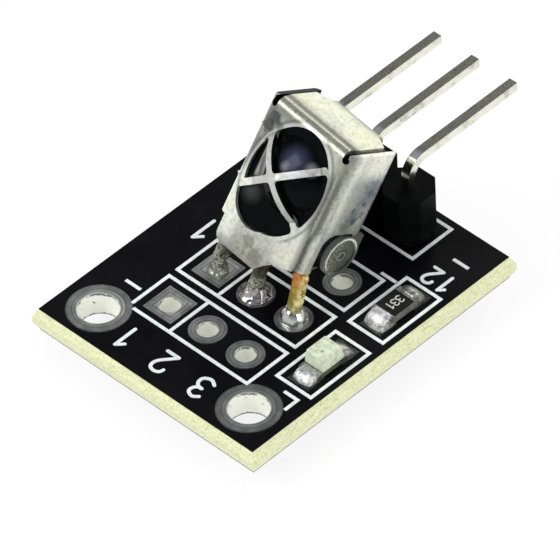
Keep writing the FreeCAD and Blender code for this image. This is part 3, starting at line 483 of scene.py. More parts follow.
# Painted light and shade across the top flap: a dark band a little behind the fold, bright across the
# middle and darker at the back, then a cream tint
flap = tones(tree, plus(tree, y, loose, 0.25), [(0.0, 0.38), (0.2, 0.44), (0.42, 0.36), (0.58, 0.17),
                                                (0.75, 0.22), (0.95, 0.56), (1.3, 0.76), (2.2, 0.84),
                                                (3.1, 0.78), (3.4, 0.42), (3.75, 0.34)])
flap = blend_colour(tree, 1.0, flap, (1.0, 1.0, 0.89, 1), "MULTIPLY")
crown = product(tree, step(tree, z, 6.3, 6.5), step(tree, aside, 2.62, 2.5))
tone = blend_colour(tree, crown, tone, flap)
tint = ramp(tree, clouds, [(0.3, linear(238, 243, 233)), (0.5, linear(250, 252, 240)),
                           (0.7, linear(255, 255, 231))])
tone = blend_colour(tree, 1.0, tone, tint, "MULTIPLY")
worn = plus(tree, product(tree, grain, 0.75), fine, 0.25)
# The window's bars painted darker, as shade
bars = step(tree, y, -0.04, -0.14)
tone = blend_colour(tree, product(tree, bars, 0.75), tone, grey(0.66))
tone = blend_colour(tree, 1.0, tone, ramp(tree, worn, [(0.33, grey(0.58)), (0.44, grey(0.87)),
                                                       (0.58, grey(1.0))]), "MULTIPLY")
# Painted highlight on the upper-left lip round the window, and a darker line outside it
out_x = minus(tree, x, WINDOW_MIDDLE[0])
out_z = minus(tree, z, WINDOW_MIDDLE[1])
oval_x = minus(tree, product(tree, out_x, math.cos(WINDOW_LEAN)),
               product(tree, out_z, math.sin(WINDOW_LEAN)))
oval_z = plus(tree, product(tree, out_x, math.sin(WINDOW_LEAN)), out_z, math.cos(WINDOW_LEAN))
oval = hypot(tree, maths(tree, "DIVIDE", oval_x, WINDOW_HALF[0]),
             maths(tree, "DIVIDE", oval_z, WINDOW_HALF[1]))
oval = plus(tree, oval, loose, 0.06)
plate = product(tree, step(tree, y, 0.1, 0.03), step(tree, y, -0.04, -0.01), step(tree, z, 0.4, 1.0))
lip_highlight = product(tree, plate, step(tree, oval, 1.075, 1.035), step(tree, minus(tree, z, x), 2.6, 5.2))
outer_dark_line = product(tree, plate, step(tree, oval, 1.06, 1.09), step(tree, oval, 1.16, 1.11))
tone = blend_colour(tree, product(tree, outer_dark_line, 0.5), tone, grey(0.1))
tone = stain(tone, 0.55, grey(0.14), -2.75, 0, 3.9, 0.75)
tone = blend_colour(tree, product(tree, lip_highlight, 0.4), tone, grey(0.85))
tone = stain(tone, 0.85, linear(60, 64, 66), -2.16, 0, 5.76, 0.5)
tone = stain(tone, 0.8, linear(56, 60, 62), -2.3, 0, 5.25, 0.45)
tone = stain(tone, 0.6, linear(80, 84, 84), -1.64, 0, 5.5, 0.3)
tone = stain(tone, 0.5, linear(100, 104, 102), -2.6, 0, 5.7, 0.5)
tone = stain(tone, 0.5, linear(110, 114, 108), -0.5, 0, -0.35, 0.5)
tone = stain(tone, 0.55, linear(112, 114, 106), 0.15, 0, -0.8, 0.55)
tone = stain(tone, 0.75, linear(108, 120, 138), 2.9, 2.7, 4.8, 0.85, 0.8)
tone = stain(tone, 0.65, linear(104, 118, 132), 2.9, 2.65, 4.0, 0.75, 0.8)
tone = stain(tone, 0.6, linear(80, 96, 116), 2.9, 2.7, 4.5, 0.3)
tone = stain(tone, 0.6, linear(112, 134, 136), 2.9, 2.15, 3.2, 0.65, 0.8)
tone = stain(tone, 0.6, linear(76, 92, 96), 2.9, 2.0, 3.5, 0.22)
tone = stain(tone, 0.6, linear(76, 92, 96), 2.9, 2.3, 2.8, 0.2)
tone = stain(tone, 0.7, linear(60, 56, 50), 2.9, 2.56, 3.86, 0.16)
tone = stain(tone, 0.55, linear(104, 104, 94), 2.9, 1.85, 2.6, 0.55, 0.8)
tone = stain(tone, 0.6, linear(70, 80, 80), 2.9, 2.37, 2.86, 0.3, 0.6)
tone = stain(tone, 0.6, linear(66, 76, 78), 2.9, 2.75, 3.25, 0.26, 0.6)
flecks = product(tree, step(tree, fine, 0.57, 0.61), step(tree, x, 2.8, 2.88), step(tree, z, 3.9, 3.1),
                 step(tree, y, 1.2, 1.7), 0.55)
tone = blend_colour(tree, flecks, tone, grey(0.12))
# The lug: bands of painted light and shade round its pressed ring, lighter streaks and mottling, a painted
# highlight on the upper-left of its rim, and painted light fading to shade along its cut edge
lug = product(tree, step(tree, x, 2.6, 2.64), step(tree, y, 1.3, 1.5), step(tree, z, 2.1, 2.0))
from_lug = (minus(tree, y, LUG_MIDDLE[0]), minus(tree, z, LUG_MIDDLE[1]))
lug_reach = hypot(tree, *from_lug)
lug_tone = tones(tree, plus(tree, lug_reach, loose, 0.15), [(0.0, 0.5), (0.13, 0.08), (0.22, 0.62),
                                                            (0.32, 0.12), (0.5, 0.26), (0.85, 0.2),
                                                            (0.95, 0.16), (1.0, 0.24), (1.15, 0.2)])
lug_tone = blend_colour(tree, product(tree, step(tree, fine, 0.5, 0.56), step(tree, y, 3.0, 2.3), 0.8),
                        lug_tone, grey(0.75))
upper_left = minus(tree, product(tree, from_lug[1], 0.9), product(tree, from_lug[0], 0.6))
lug_face = step(tree, maths(tree, "ABSOLUTE", facing(tree, axes[0])), 0.5, 0.8)
rim = product(tree, lug_face, step(tree, lug_reach, 0.88, 0.92), step(tree, lug_reach, 1.06, 1.0),
              step(tree, upper_left, -0.6, 0.1))
lug_tone = blend_colour(tree, rim, lug_tone, grey(0.9))
lug_tone = blend_colour(tree, product(tree, step(tree, clouds, 0.5, 0.6), 0.3), lug_tone, grey(0.4))
lug_tone = blend_colour(tree, 1.0, lug_tone, (0.97, 1.0, 0.84, 1), "MULTIPLY")
lug_edge_light = tones(tree, plus(tree, y, loose, 1.6), [(1.5, 0.8), (2.1, 0.6), (2.6, 0.16), (3.2, 0.06)])
lug_tone = blend_colour(tree, lug_face, lug_edge_light, lug_tone)
tone = blend_colour(tree, lug, tone, lug_tone)
# Painted shade, near black, where the sheet is seen from inside, in the slots beside the flap, round the
# relief holes, along the left wall's top and on the bars' own edges
hollow = product(tree, step(tree, y, 0.18, 0.23), step(tree, y, 3.3, 3.25), step(tree, aside, 2.69, 2.66),
                 step(tree, z, 6.58, 6.54))
slots = product(tree, step(tree, maths(tree, "ABSOLUTE", facing(tree, axes[0])), 0.5, 0.7),
                step(tree, z, 6.4, 6.5), step(tree, aside, 2.69, 2.66), step(tree, x, 0.5, -0.5))
holes = hypot(tree, minus(tree, aside, 2.55), minus(tree, z, 6.35))
holes = product(tree, step(tree, holes, 0.2, 0.172), step(tree, y, 0.6, 0.5))
edges = product(tree, step(tree, maths(tree, "ABSOLUTE", facing(tree, axes[1])), 0.6, 0.4),
                step(tree, y, 0.0, -0.06))
left_top = product(tree, step(tree, x, -2.55, -2.6), step(tree, z, 6.45, 6.5), step(tree, y, 0.25, 0.4))
shade = largest(tree, hollow, slots, holes, edges, left_top)
tone = blend_colour(tree, product(tree, shade, 0.98), tone, grey(0.004))
# More metallic under the painted shade; less on the lug's rim, so its painted highlight shows
metal = maths(tree, "ADD", product(tree, shade, 0.15), 0.85, clamp=True)
metal = minus(tree, metal, product(tree, lug, rim, 0.55))
gloss = plus(tree, tones(tree, grain, [(0.3, 0.3), (0.7, 0.46)]), bars, 0.12)
surface(tree, shader, tone, gloss, metal)
mixed = plus(tree, product(tree, grain, 0.5), fine, 0.25)
mixed = plus(tree, mixed, low_fold_light_and_shade, 0.8)
bump(tree, shader, mixed, 0.5, 0.04)
dress(shield, "receiver_shield")

moulding, tree, shader = new_material("dark_moulding")
here = place_in_mm(tree)
swirl = noise_node(tree, here, 1.1, 3.0)
dark = ramp(tree, swirl, [(0.3, (0.0012, 0.0015, 0.0016, 1)), (0.7, (0.0024, 0.0028, 0.0032, 1))])
local = place_in_mm(tree, RECEIVER_PLACE, RECEIVER_TURN)
x, y, z = components(tree, local)
# Painted reflections, soft pale patches on the tinted lens: place, radius, strength and colour
LENS_REFLECTIONS = (
    ((0.15, -0.3, 4.75), 1.1, 1.0, (58, 60, 82)),
    ((1.1, -0.1, 4.85), 0.5, 0.85, (128, 132, 140)),
    ((-0.1, -0.5, 4.3), 0.4, 0.8, (124, 128, 138)),
    ((-1.35, -0.2, 4.2), 0.55, 0.6, (120, 122, 120)),
    ((-1.8, 0.25, 1.8), 0.9, 0.5, (80, 84, 80)),
)
lens_tone = dark
for place, radius, amount, colour in LENS_REFLECTIONS:
    glow = step(tree, vector_value(tree, "DISTANCE", local, place), radius, 0.0)
    lens_tone = blend_colour(tree, product(tree, glow, amount), lens_tone, linear(*colour))
web = product(tree, step(tree, x, -2.1, -1.95), step(tree, x, -1.15, -1.35), step(tree, z, 2.4, 2.7),
              step(tree, z, 4.7, 4.3), 0.85)
web_tone = ramp(tree, maths(tree, "DIVIDE", maths(tree, "ADD", x, 2.0), 0.7, clamp=True),
                [(0.0, linear(176, 178, 172)), (0.3, linear(112, 115, 110)), (0.7, linear(104, 108, 104)),
                 (1.0, linear(150, 152, 148))])
lens_tone = blend_colour(tree, web, lens_tone, web_tone)
front_of = step(tree, y, 0.6, 0.4)
surface(tree, shader, blend_colour(tree, front_of, dark, lens_tone),
        ramp(tree, swirl, [(0.3, grey(0.08)), (0.7, grey(0.16))]))
shader.inputs["Specular IOR Level"].default_value = 0.05
bump(tree, shader, noise_node(tree, here, 9.0, 3.0), 0.1, 0.006)
dress(moulding, "receiver_moulding")

lead = simple("tinned_lead", linear(128, 128, 112), linear(196, 196, 180), 0.38, 0.85, 9.0, 0.4, 0.06)
dress(lead, "receiver_lead_1", "receiver_lead_2")

stained, tree, shader = new_material("stained_lead")
here = place_in_mm(tree)
blotch = noise_node(tree, here, 5.0, 5.0, 0.7)
height = plus(tree, components(tree, here)[2], minus(tree, blotch, 0.5), 0.9)
level = maths(tree, "DIVIDE", minus(tree, height, 1.6), 3.0)
tone = ramp(tree, level, [(0.0, linear(168, 166, 150)), (0.16, linear(150, 146, 100)),
                          (0.32, linear(128, 112, 30)), (0.55, linear(146, 112, 36)),
                          (0.8, linear(186, 118, 44)), (1.0, linear(200, 150, 90))])
surface(tree, shader, tone, ramp(tree, blotch, [(0.3, grey(0.35)), (0.7, grey(0.6))]), 0.55)
bump(tree, shader, blotch, 0.8, 0.08)
dress(stained, "receiver_lead_3")

silicon = simple("silicon", linear(60, 60, 72), linear(84, 84, 98), 0.2, 0.3, 8.0, 0.2, 0.002)
dress(silicon, "photodiode_die", "amplifier_chip", "lamp_die")

# Solder

solder = simple("bright_solder", linear(190, 192, 188), linear(238, 240, 236), 0.2, 1.0, 2.2, 0.4, 0.025)
satin = simple("satin_solder", linear(116, 118, 114), linear(253, 254, 251), 0.38, 0.7, 5.0, 0.3, 0.08)
lumpy = simple("lumpy_solder", linear(96, 92, 92), linear(206, 204, 202), 0.2, 1.0, 3.0, 0.4, 0.05)
dull = simple("dull_solder", linear(122, 122, 114), linear(192, 192, 182), 0.36, 0.9, 4.0, 0.3, 0.045)
dress(satin, "resistor_solder_front", "lamp_solder_front")
dress(dull, "resistor_solder_rear", "lamp_solder_rear")

# Solder through each filled hole: a cone round the tail below, the barrel, and its own shape on top
BELOW = [(0.28, -0.75), (0.4, -0.58), (0.6, -0.25), (0.82, -0.06), (0.86, 0.0), (0.47, 0.0), (0.47, 1.38)]
TOPS = {
    "receiver_joint_1": ([(0.56, 1.4), (0.53, 1.46), (0.42, 1.55), (0.36, 1.7), (0.33, 1.86), (0.2, 1.95)],
                         dull, 0.09),
    "receiver_joint_2": ([(0.86, 1.4), (0.85, 1.46), (0.78, 1.53), (0.7, 1.56), (0.62, 1.66), (0.52, 1.8),
                          (0.42, 1.95), (0.34, 2.1), (0.2, 2.2)], lumpy, 0.11),
    "receiver_joint_3": ([(0.7, 1.4), (0.7, 1.5), (0.66, 1.66), (0.58, 1.82), (0.46, 1.98), (0.36, 2.1),
                          (0.2, 2.18)], solder, 0.04),
}
for k in range(3):
    x_hole = ROWS_X + (k - 1) * PITCH
    name = f"receiver_joint_{k + 1}"
    profile, finish, rough = TOPS[name]
    lump(f"{name}_solder", (x_hole, RECEIVER_ROW, 0.0), BELOW + profile, finish, rough, 3.2, 3.0 * k + 1.0,
         replaces=(name,))
    name = f"header_joint_{k + 1}"
    lump(f"{name}_solder", (x_hole, HEADER_ROW, 0.0), BELOW + [(0.8, 1.4), (0.7, 1.5), (0.45, 1.68),
                                                               (0.2, 1.75)], solder, 0.03, 3.0,
         2.0 * k + 9.0, replaces=(name,))


def crust(name, points, radii, material, rough, grain, seed, segments=40, steps=14):
    """A rough skin of solder and flux round a lead: rings along straight runs between points."""
    bm = bmesh.new()
    rings = []
    stations = []
    for (a, ra), (b, rb) in zip(zip(points, radii), zip(points[1:], radii[1:])):
        for s in range(steps):
            t = s / steps
            stations.append((Vector(a).lerp(Vector(b), t), ra + (rb - ra) * t))
    stations.append((Vector(points[-1]), radii[-1]))
    for place, radius in stations:
        ring = []
        for k in range(segments):
            angle = 2 * math.pi * k / segments
            out = Vector((math.cos(angle), 0.9 * math.sin(angle), 0))
            lumpy = noise.noise((place + out * 0.3) * grain + Vector((seed, 0, 0)))
            lumpy += 0.5 * noise.noise((place + out * 0.3) * grain * 2.7 + Vector((0, seed, 0)))
            ring.append(bm.verts.new(place + out * (radius + rough * lumpy)))
        rings.append(ring)
    skin(bm, rings)
    return add_object(name, mesh_from(name, bm), material)


def in_receiver(x, y, z):
    return RECEIVER_PLACE + RECEIVER_TURN.to_matrix() @ Vector((x, y, z))


crusty, tree, shader = new_material("crusty_flux")
here = place_in_mm(tree)
x, y, z = components(tree, here)
grain = noise_node(tree, here, 6.0, 6.0, 0.75)
pits = noise_node(tree, here, 11.0, 3.0, 0.6)
pale = ramp(tree, grain, [(0.34, linear(70, 68, 54)), (0.46, linear(138, 137, 116)),
                          (0.62, linear(206, 206, 188))])
burnt_and_shaded = ramp(tree, grain, [(0.35, linear(30, 30, 22)), (0.6, linear(96, 92, 70))])
high = step(tree, plus(tree, z, grain, 0.8), 2.85, 3.15)
high = product(tree, high, step(tree, x, -2.5, -1.0))
tone = blend_colour(tree, high, pale, burnt_and_shaded)
# Painted shade on the top of lead 1's crust, under the shield, in the burnt tone
lead_one_top_shade = product(tree, step(tree, x, -2.55, -2.3), step(tree, x, -1.4, -1.7), step(tree, z, 2.3, 2.8),
                   0.8)
tone = blend_colour(tree, lead_one_top_shade, tone, burnt_and_shaded)
tone = blend_colour(tree, step(tree, pits, 0.53, 0.57), tone, linear(16, 16, 11))
surface(tree, shader, tone, tones(tree, grain, [(0.3, 0.3), (0.7, 0.6)]), 0.35)
bump(tree, shader, grain, 1.0, 0.12)

left_hole = (ROWS_X - PITCH, RECEIVER_ROW)
middle_hole = (ROWS_X, RECEIVER_ROW)
right_hole = (ROWS_X + PITCH, RECEIVER_ROW)
crust("lead_1_crust", [(left_hole[0] + 0.08, left_hole[1], 1.7), (left_hole[0] + 0.14, left_hole[1], 2.2),
                       in_receiver(-2.12, 0.85, -0.25), in_receiver(-2.12, 0.85, 0.2)],
      [0.36, 0.36, 0.42, 0.4], crusty, 0.13, 3.6, 4.0)
crust("lead_2_crust", [(middle_hole[0] + 0.04, middle_hole[1], 1.8),
                       (middle_hole[0] + 0.1, middle_hole[1], 2.2), in_receiver(0.14, 0.85, -0.45),
                       in_receiver(0.14, 0.85, 0.2)], [0.4, 0.36, 0.4, 0.42], crusty, 0.13, 3.6, 11.0)

amber, tree, shader = new_material("amber_flux")
here = place_in_mm(tree)
x, y, z = components(tree, here)
blotch = noise_node(tree, here, 4.0, 5.0, 0.7)
level = plus(tree, z, minus(tree, blotch, 0.5), 1.1)
level = maths(tree, "DIVIDE", minus(tree, level, 1.6), 3.0, clamp=True)
tone = ramp(tree, level, [(0.0, linear(176, 174, 158)), (0.14, linear(156, 150, 108)),
                          (0.3, linear(132, 122, 34)), (0.5, linear(150, 128, 40)),
                          (0.62, linear(176, 118, 44)), (0.85, linear(196, 124, 54)),
                          (1.0, linear(206, 176, 130))])
side = step(tree, x, 2.5, 2.8)
tone = blend_colour(tree, product(tree, side, step(tree, blotch, 0.42, 0.5)), tone, linear(214, 206, 150))
surface(tree, shader, tone, tones(tree, blotch, [(0.3, 0.22), (0.7, 0.5)]), 0.3)
bump(tree, shader, blotch, 0.8, 0.1)
crust("lead_3_flux", [(right_hole[0] + 0.05, right_hole[1], 1.8),
                      (right_hole[0] + 0.18, right_hole[1], 2.3), in_receiver(2.48, 0.85, -0.3),
                      in_receiver(2.46, 0.85, 0.2)], [0.33, 0.35, 0.38, 0.36], amber, 0.09, 3.4, 7.0)
nub = in_receiver(2.28, 0.85, -0.55)
lump("lead_3_nub", (nub.x + 0.6, nub.y, nub.z + 0.22), [(0.06, -0.14), (0.15, -0.06), (0.17, 0.04),
                                                        (0.12, 0.13), (0.03, 0.17)], amber, 0.06, 6.0, 2.0,
     segments=24)


def mound(name, middle, half_width, run, height, over, material, replaces, rough=0.03, seed=0.0, across=28,
          lengthwise=30):
    """Solder piled against one end of a chip part: rises along run and laps over the end cap."""
    bm = bmesh.new()
    cx, y_start, direction = middle
    grid = []
    for i in range(lengthwise + 1):
        t = i / lengthwise
        row = []
        for j in range(across + 1):
            s = 2 * j / across - 1
            reach = t * (run + over)
            if reach < run:
                rise = height * (1 - (1 - reach / run) ** 2.2) ** 0.6
            else:
                rise = height * math.sqrt(max(0.0, 1 - ((reach - run) / (over + 1e-6)) ** 4))
            edge = max(0.0, 1 - abs(s) ** 5) ** 0.5
            bow = 1 - 0.12 * (1 - t) * s * s
            x = cx + half_width * s * (0.94 + 0.06 * math.sin(math.pi * t))
            y = y_start + direction * (reach * bow + 0.1 * (1 - t) * s * s)
            lift = rise * edge
            lift += rough * noise.noise(Vector((x * 2.6 + seed, y * 2.6, seed))) * edge * min(1.0, 4 * t)
            row.append(bm.verts.new((x, y, TOP + 0.005 + max(0.0, lift))))
        grid.append(row)
    for i in range(lengthwise):
        for j in range(across):
            face = (grid[i][j], grid[i][j + 1], grid[i + 1][j + 1], grid[i + 1][j])
            bm.faces.new(face if direction > 0 else face[::-1])
    rim = [grid[0][j] for j in range(across + 1)] + [grid[i][across] for i in range(1, lengthwise + 1)]
    rim += [grid[lengthwise][j] for j in range(across - 1, -1, -1)]
    rim += [grid[i][0] for i in range(lengthwise - 1, 0, -1)]
    floor_ring = [bm.verts.new((v.co.x, v.co.y, TOP - 0.005)) for v in rim]
    for k in range(len(rim)):
        j = (k + 1) % len(rim)
        bm.faces.new((rim[k], floor_ring[k], floor_ring[j], rim[j]))
    bm.faces.new(floor_ring[::-1])
    bmesh.ops.recalc_face_normals(bm, faces=bm.faces)
    return add_object(name, mesh_from(name, bm), material, replaces)


for name, start_y, direction, run, height, over, finish in (
        ("resistor_solder_front", 7.82, 1, 0.68, 0.64, 0.34, satin),
        ("resistor_solder_rear", 11.12, -1, 0.64, 0.56, 0.24, dull),
        ("lamp_solder_front", 2.84, 1, 0.64, 0.44, 0.24, satin),
        ("lamp_solder_rear", 6.14, -1, 0.64, 0.3, 0.12, dull)):
    half_width = 0.66 if "resistor" in name else 0.6
    mound(f"{name}_mound", (CHIPS_X, start_y, direction), half_width, run, height, over, finish, (name,),
          0.05, start_y)

# Header

pin, tree, shader = new_material("pin_plating")
here = place_in_mm(tree)
scuffs = noise_node(tree, here, 5.0, 5.0, 0.7, (1.0, 0.25, 0.25))
sides = ramp(tree, scuffs, [(0.33, linear(180, 179, 166)), (0.47, linear(228, 228, 213)),
                            (0.7, linear(242, 242, 228))])
tops = ramp(tree, scuffs, [(0.35, linear(176, 175, 160)), (0.5, linear(222, 222, 208)),
                           (0.7, linear(234, 234, 222))])
# Tops a little darker than the sides: painted shade by facing
up = step(tree, facing(tree, (0, 0, 1)), 0.6, 0.8)
surface(tree, shader, blend_colour(tree, up, sides, tops), tones(tree, scuffs, [(0.3, 0.24), (0.7, 0.16)]),
        1.0)
dress(pin, "header_pin_1", "header_pin_2", "header_pin_3")
strip = simple("strip_plastic", (0.0010, 0.0012, 0.0014, 1), (0.0030, 0.0034, 0.0036, 1), 0.42, 0.0, 9.0,
               0.25, 0.015, specular=0.05)
dress(strip, "header_strip")

# Chip parts

terminal = simple("end_cap", linear(150, 150, 146), linear(206, 206, 200), 0.32, 1.0, 8.0, 0.4, 0.03)
dress(terminal, "resistor_terminal_front", "resistor_terminal_rear", "lamp_terminal_front",
      "lamp_terminal_rear")
ceramic = simple("fired_ceramic", linear(70, 70, 64), linear(120, 120, 110), 0.6, 0.0, 10.0, 0.2, 0.02)
dress(ceramic, "resistor_substrate")
glaze = simple("black_glaze", (0.0030, 0.0030, 0.0028, 1), (0.0075, 0.0075, 0.0070, 1), 0.35, 0.0, 9.0, 0.3,
               0.012, specular=0.25)
dress(glaze, "resistor_coat")
# The lamp's base in dark olive: painted shade under the raised lens
carrier = simple("lamp_carrier", linear(40, 44, 28), linear(96, 102, 78), 0.55, 0.0, 8.0, 0.2, 0.01)
dress(carrier, "lamp_base")
lens, tree, shader = new_material("cloudy_lens")
here = place_in_mm(tree)
x, y, z = components(tree, here)
cloud = noise_node(tree, here, 3.2, 4.0, 0.6)
tone = ramp(tree, cloud, [(0.34, linear(176, 185, 154)), (0.5, linear(196, 204, 178)),
                          (0.66, linear(212, 219, 198))])
for dot_x, dot_y, dot_radius in ((5.76, 4.36, 0.11), (6.12, 4.2, 0.06), (5.98, 3.8, 0.07)):
    reach = hypot(tree, minus(tree, x, dot_x), minus(tree, y, dot_y))
    reach = plus(tree, reach, cloud, 0.05)
    dot = product(tree, step(tree, reach, dot_radius + 0.03, dot_radius - 0.04), 0.7)
    tone = blend_colour(tree, dot, tone, linear(88, 100, 66))
surface(tree, shader, tone, tones(tree, cloud, [(0.3, 0.26), (0.7, 0.42)]))
shader.inputs["Coat Weight"].default_value = 0.1
bump(tree, shader, cloud, 0.5, 0.03)
dress(lens, "lamp_lens")


def cast_lens(name, node, rise, setback, taper, rounding):
    """The lamp's lens as cast: sides drawn in towards a rounded top, standing a little above the node."""
    low, high = (Vector(corner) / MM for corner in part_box(node))
    high.y += setback
    middle = (low + high) / 2
    half = (high - low) / 2
    bm = bmesh.new()
    levels = [(low.z, 0.0), (low.z + 0.3 * (high.z - low.z), 0.0), (high.z + rise, taper)]
    rings = []
    for height, inset in levels:
        wide, deep = half.x - 0.5 * inset, half.y - inset
        rings.append([bm.verts.new((middle.x + sx * wide, middle.y + sy * deep, height))
                      for sx, sy in CORNERS])
    skin(bm, rings)
    bm.normal_update()
    sharp = [e for e in bm.edges if e.calc_face_angle(0.0) > 0.5]
    bmesh.ops.bevel(bm, geom=sharp, offset=rounding, segments=4, affect="EDGES", profile=0.5,
                    clamp_overlap=True)
    bmesh.ops.recalc_face_normals(bm, faces=bm.faces)
    return add_object(name, mesh_from(name, bm), lens, (node,))


cast_lens("lamp_lens_cast", "lamp_lens", 0.34, 0.2, 0.1, 0.07)

# Plain numbers, printed to be read from the header's side

DIGITS = {
    "1": [[(0.1, 0.76), (0.34, 1.0)], [(0.34, 1.0), (0.34, 0.0)]],
    "2": [[(0.04, 0.76), (0.1, 0.93), (0.3, 1.0), (0.5, 0.93), (0.56, 0.74), (0.48, 0.52), (0.26, 0.26),
           (0.04, 0.0)], [(0.04, 0.0), (0.58, 0.0)]],
    "3": [[(0.05, 0.86), (0.26, 1.0), (0.5, 0.9), (0.52, 0.7), (0.4, 0.56), (0.24, 0.53)],
          [(0.24, 0.53), (0.44, 0.5), (0.57, 0.34), (0.54, 0.12), (0.28, 0.0), (0.03, 0.13)]],
}


def smooth_path(points, steps=8):
    """Points along a Catmull-Rom curve through the given ones."""
    if len(points) < 3:
        return [Vector(p) for p in points]
    closed = points[0] == points[-1]
    ends = (points[-2], points[1]) if closed else (points[0], points[-1])
    p = [Vector(q) for q in (ends[0], *points, ends[1])]
    path = []
    for a, b, c, d in zip(p, p[1:], p[2:], p[3:]):
        for k in range(steps):
            t = k / steps
            path.append(0.5 * ((2 * b) + (c - a) * t + (2 * a - 5 * b + 4 * c - d) * t * t
                               + (3 * b - a - 3 * c + d) * t ** 3))
    path.append(p[-2])
    return path


def ink_stroke(bm, path, width, low, high):
    """A flat line of ink with round ends along a path of points in the plane."""
    left, right = [], []
    for k, point in enumerate(path):
        ahead = (path[min(k + 1, len(path) - 1)] - path[max(k - 1, 0)]).normalized()
        out = Vector((-ahead.y, ahead.x)) * width / 2
        left.append(point + out)
        right.append(point - out)

    def cap(centre, start):
        return [centre + Matrix.Rotation(-math.pi * k / 8, 2) @ (start - centre) for k in range(1, 8)]

    rim = left + cap(path[-1], left[-1]) + right[::-1] + cap(path[0], right[0])
    top = [bm.verts.new((q.x, q.y, high)) for q in rim]
    foot = [bm.verts.new((q.x, q.y, low)) for q in rim]
    n = len(path)
    for k in range(n - 1):
        a, b = k, k + 1
        c, d = n + 7 + (n - 1 - b), n + 7 + (n - 1 - a)
        bm.faces.new((top[a], top[b], top[c], top[d]))
    bm.faces.new(top[n - 1:n + 8])
    bm.faces.new(top[2 * n + 6:] + top[:1])
    for k in range(len(rim)):
        j = (k + 1) % len(rim)
        bm.faces.new((top[j], top[k], foot[k], foot[j]))


def ink_line(bm, path, closed, width, low, high):
    """A flat line of ink with square ends and mitred corners along a path of points in the plane."""
    count = len(path)
    stations = []
    for k, point in enumerate(path):
        legs = []
        if closed or k > 0:
            legs.append(point - path[k - 1])
        if closed or k < count - 1:
            legs.append(path[(k + 1) % count] - point)
        sides = [Vector((-leg.y, leg.x)).normalized() for leg in legs]
        mitre = 1 + sides[0].dot(sides[1]) if len(sides) == 2 else 1
        out = sum(sides, Vector((0, 0))) / mitre * width / 2
        corners = [(point + out, low), (point + out, high), (point - out, high), (point - out, low)]
        stations.append([bm.verts.new((q.x, q.y, h)) for q, h in corners])
    for k in range(count if closed else count - 1):
        here, there = stations[k], stations[(k + 1) % count]
        for i in range(4):
            j = (i + 1) % 4
            bm.faces.new((here[i], here[j], there[j], there[i]))
    if not closed:
        bm.faces.new(stations[0][::-1])
        bm.faces.new(stations[-1])


def clear_runs(corners, rings, radius, steps=200):
    """The runs of a closed line that stay outside the mounting rings, each with whether it is closed."""
    sides = zip(corners, corners[1:] + corners[:1])
    points = [(a.lerp(b, k / steps), k == 0) for a, b in sides for k in range(steps)]
    free = [all((point - ring).length > radius for ring in rings) for point, _ in points]
    if all(free):
        return [(corners, True)]
    start = free.index(False)
    runs = [[]]
    for (point, is_corner), is_free in zip(points[start:] + points[:start], free[start:] + free[:start]):
        if is_free:
            runs[-1].append((point, is_corner))
        elif runs[-1]:
            runs.append([])
    kept = []
    for run in filter(None, runs):
        last = len(run) - 1
        ends = [point for k, (point, is_corner) in enumerate(run) if is_corner or k in (0, last)]
        kept.append((ends, False))
    return kept


def legend_lines(name, material, line=0.18, clearance=1.64):
    """The print's boxes, dividers and dashes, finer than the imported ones."""
    bm = bmesh.new()
    low, high = TOP, TOP + INK_THICKNESS
    rings = [Vector((side * MOUNT_X, 0)) for side in (-1, 1)]
    boxes = [(ROWS_X, row_y, *ROW_BOX) for row_y in ROWS_Y]
    boxes += [(CHIPS_X, chip_y, *CHIP_BOX) for chip_y in CHIPS_Y]
    for x, y, wide, long in boxes:
        corners = [Vector((x + sx * wide / 2, y + sy * long / 2)) for sx, sy in CORNERS]
        for run, closed in clear_runs(corners, rings, clearance):
            ink_line(bm, run, closed, line, low, high)
    for row_y in ROWS_Y:
        reach = (ROW_BOX[1] - line) / 2
        divider = [Vector((ROWS_X - PITCH / 2, row_y - reach)), Vector((ROWS_X - PITCH / 2, row_y + reach))]
        ink_line(bm, divider, False, line, low, high)
    for x, y in ((-4.96, 2.25), (3.9, 10.9), (5.85, 13.93)):
        ink_line(bm, [Vector((x - 0.5, y)), Vector((x + 0.5, y))], False, line, low, high)
    ink_line(bm, [Vector((5.545, 1.93)), Vector((6.43, 1.93)), Vector((6.43, 1.045))], False, line, low,
             high)
    bmesh.ops.recalc_face_normals(bm, faces=bm.faces)
    return add_object(name, mesh_from(name, bm, smooth=False), material, ("legend_print",))


legend_lines("legend_lines", ink)


def printed(name, text, centre, height, width, turn, low, thickness, material, gap=0.28):
    """A row of digits with its middle at centre; turn is the angle of the reading direction."""
    bm = bmesh.new()
    advance = 0.6 + gap
    span = advance * len(text) - gap
    rotate = Matrix.Rotation(turn, 2)
    for k, digit in enumerate(text):
        for stroke in DIGITS[digit]:
            path = [Vector((q.x + k * advance - span / 2, q.y - 0.5)) * height for q in smooth_path(stroke)]
            path = [rotate @ q + Vector(centre) for q in path]
            ink_stroke(bm, path, width, low, low + thickness)
            thickness += 0.0015
    bmesh.ops.recalc_face_normals(bm, faces=bm.faces)
    return add_object(name, mesh_from(name, bm, smooth=False), material)


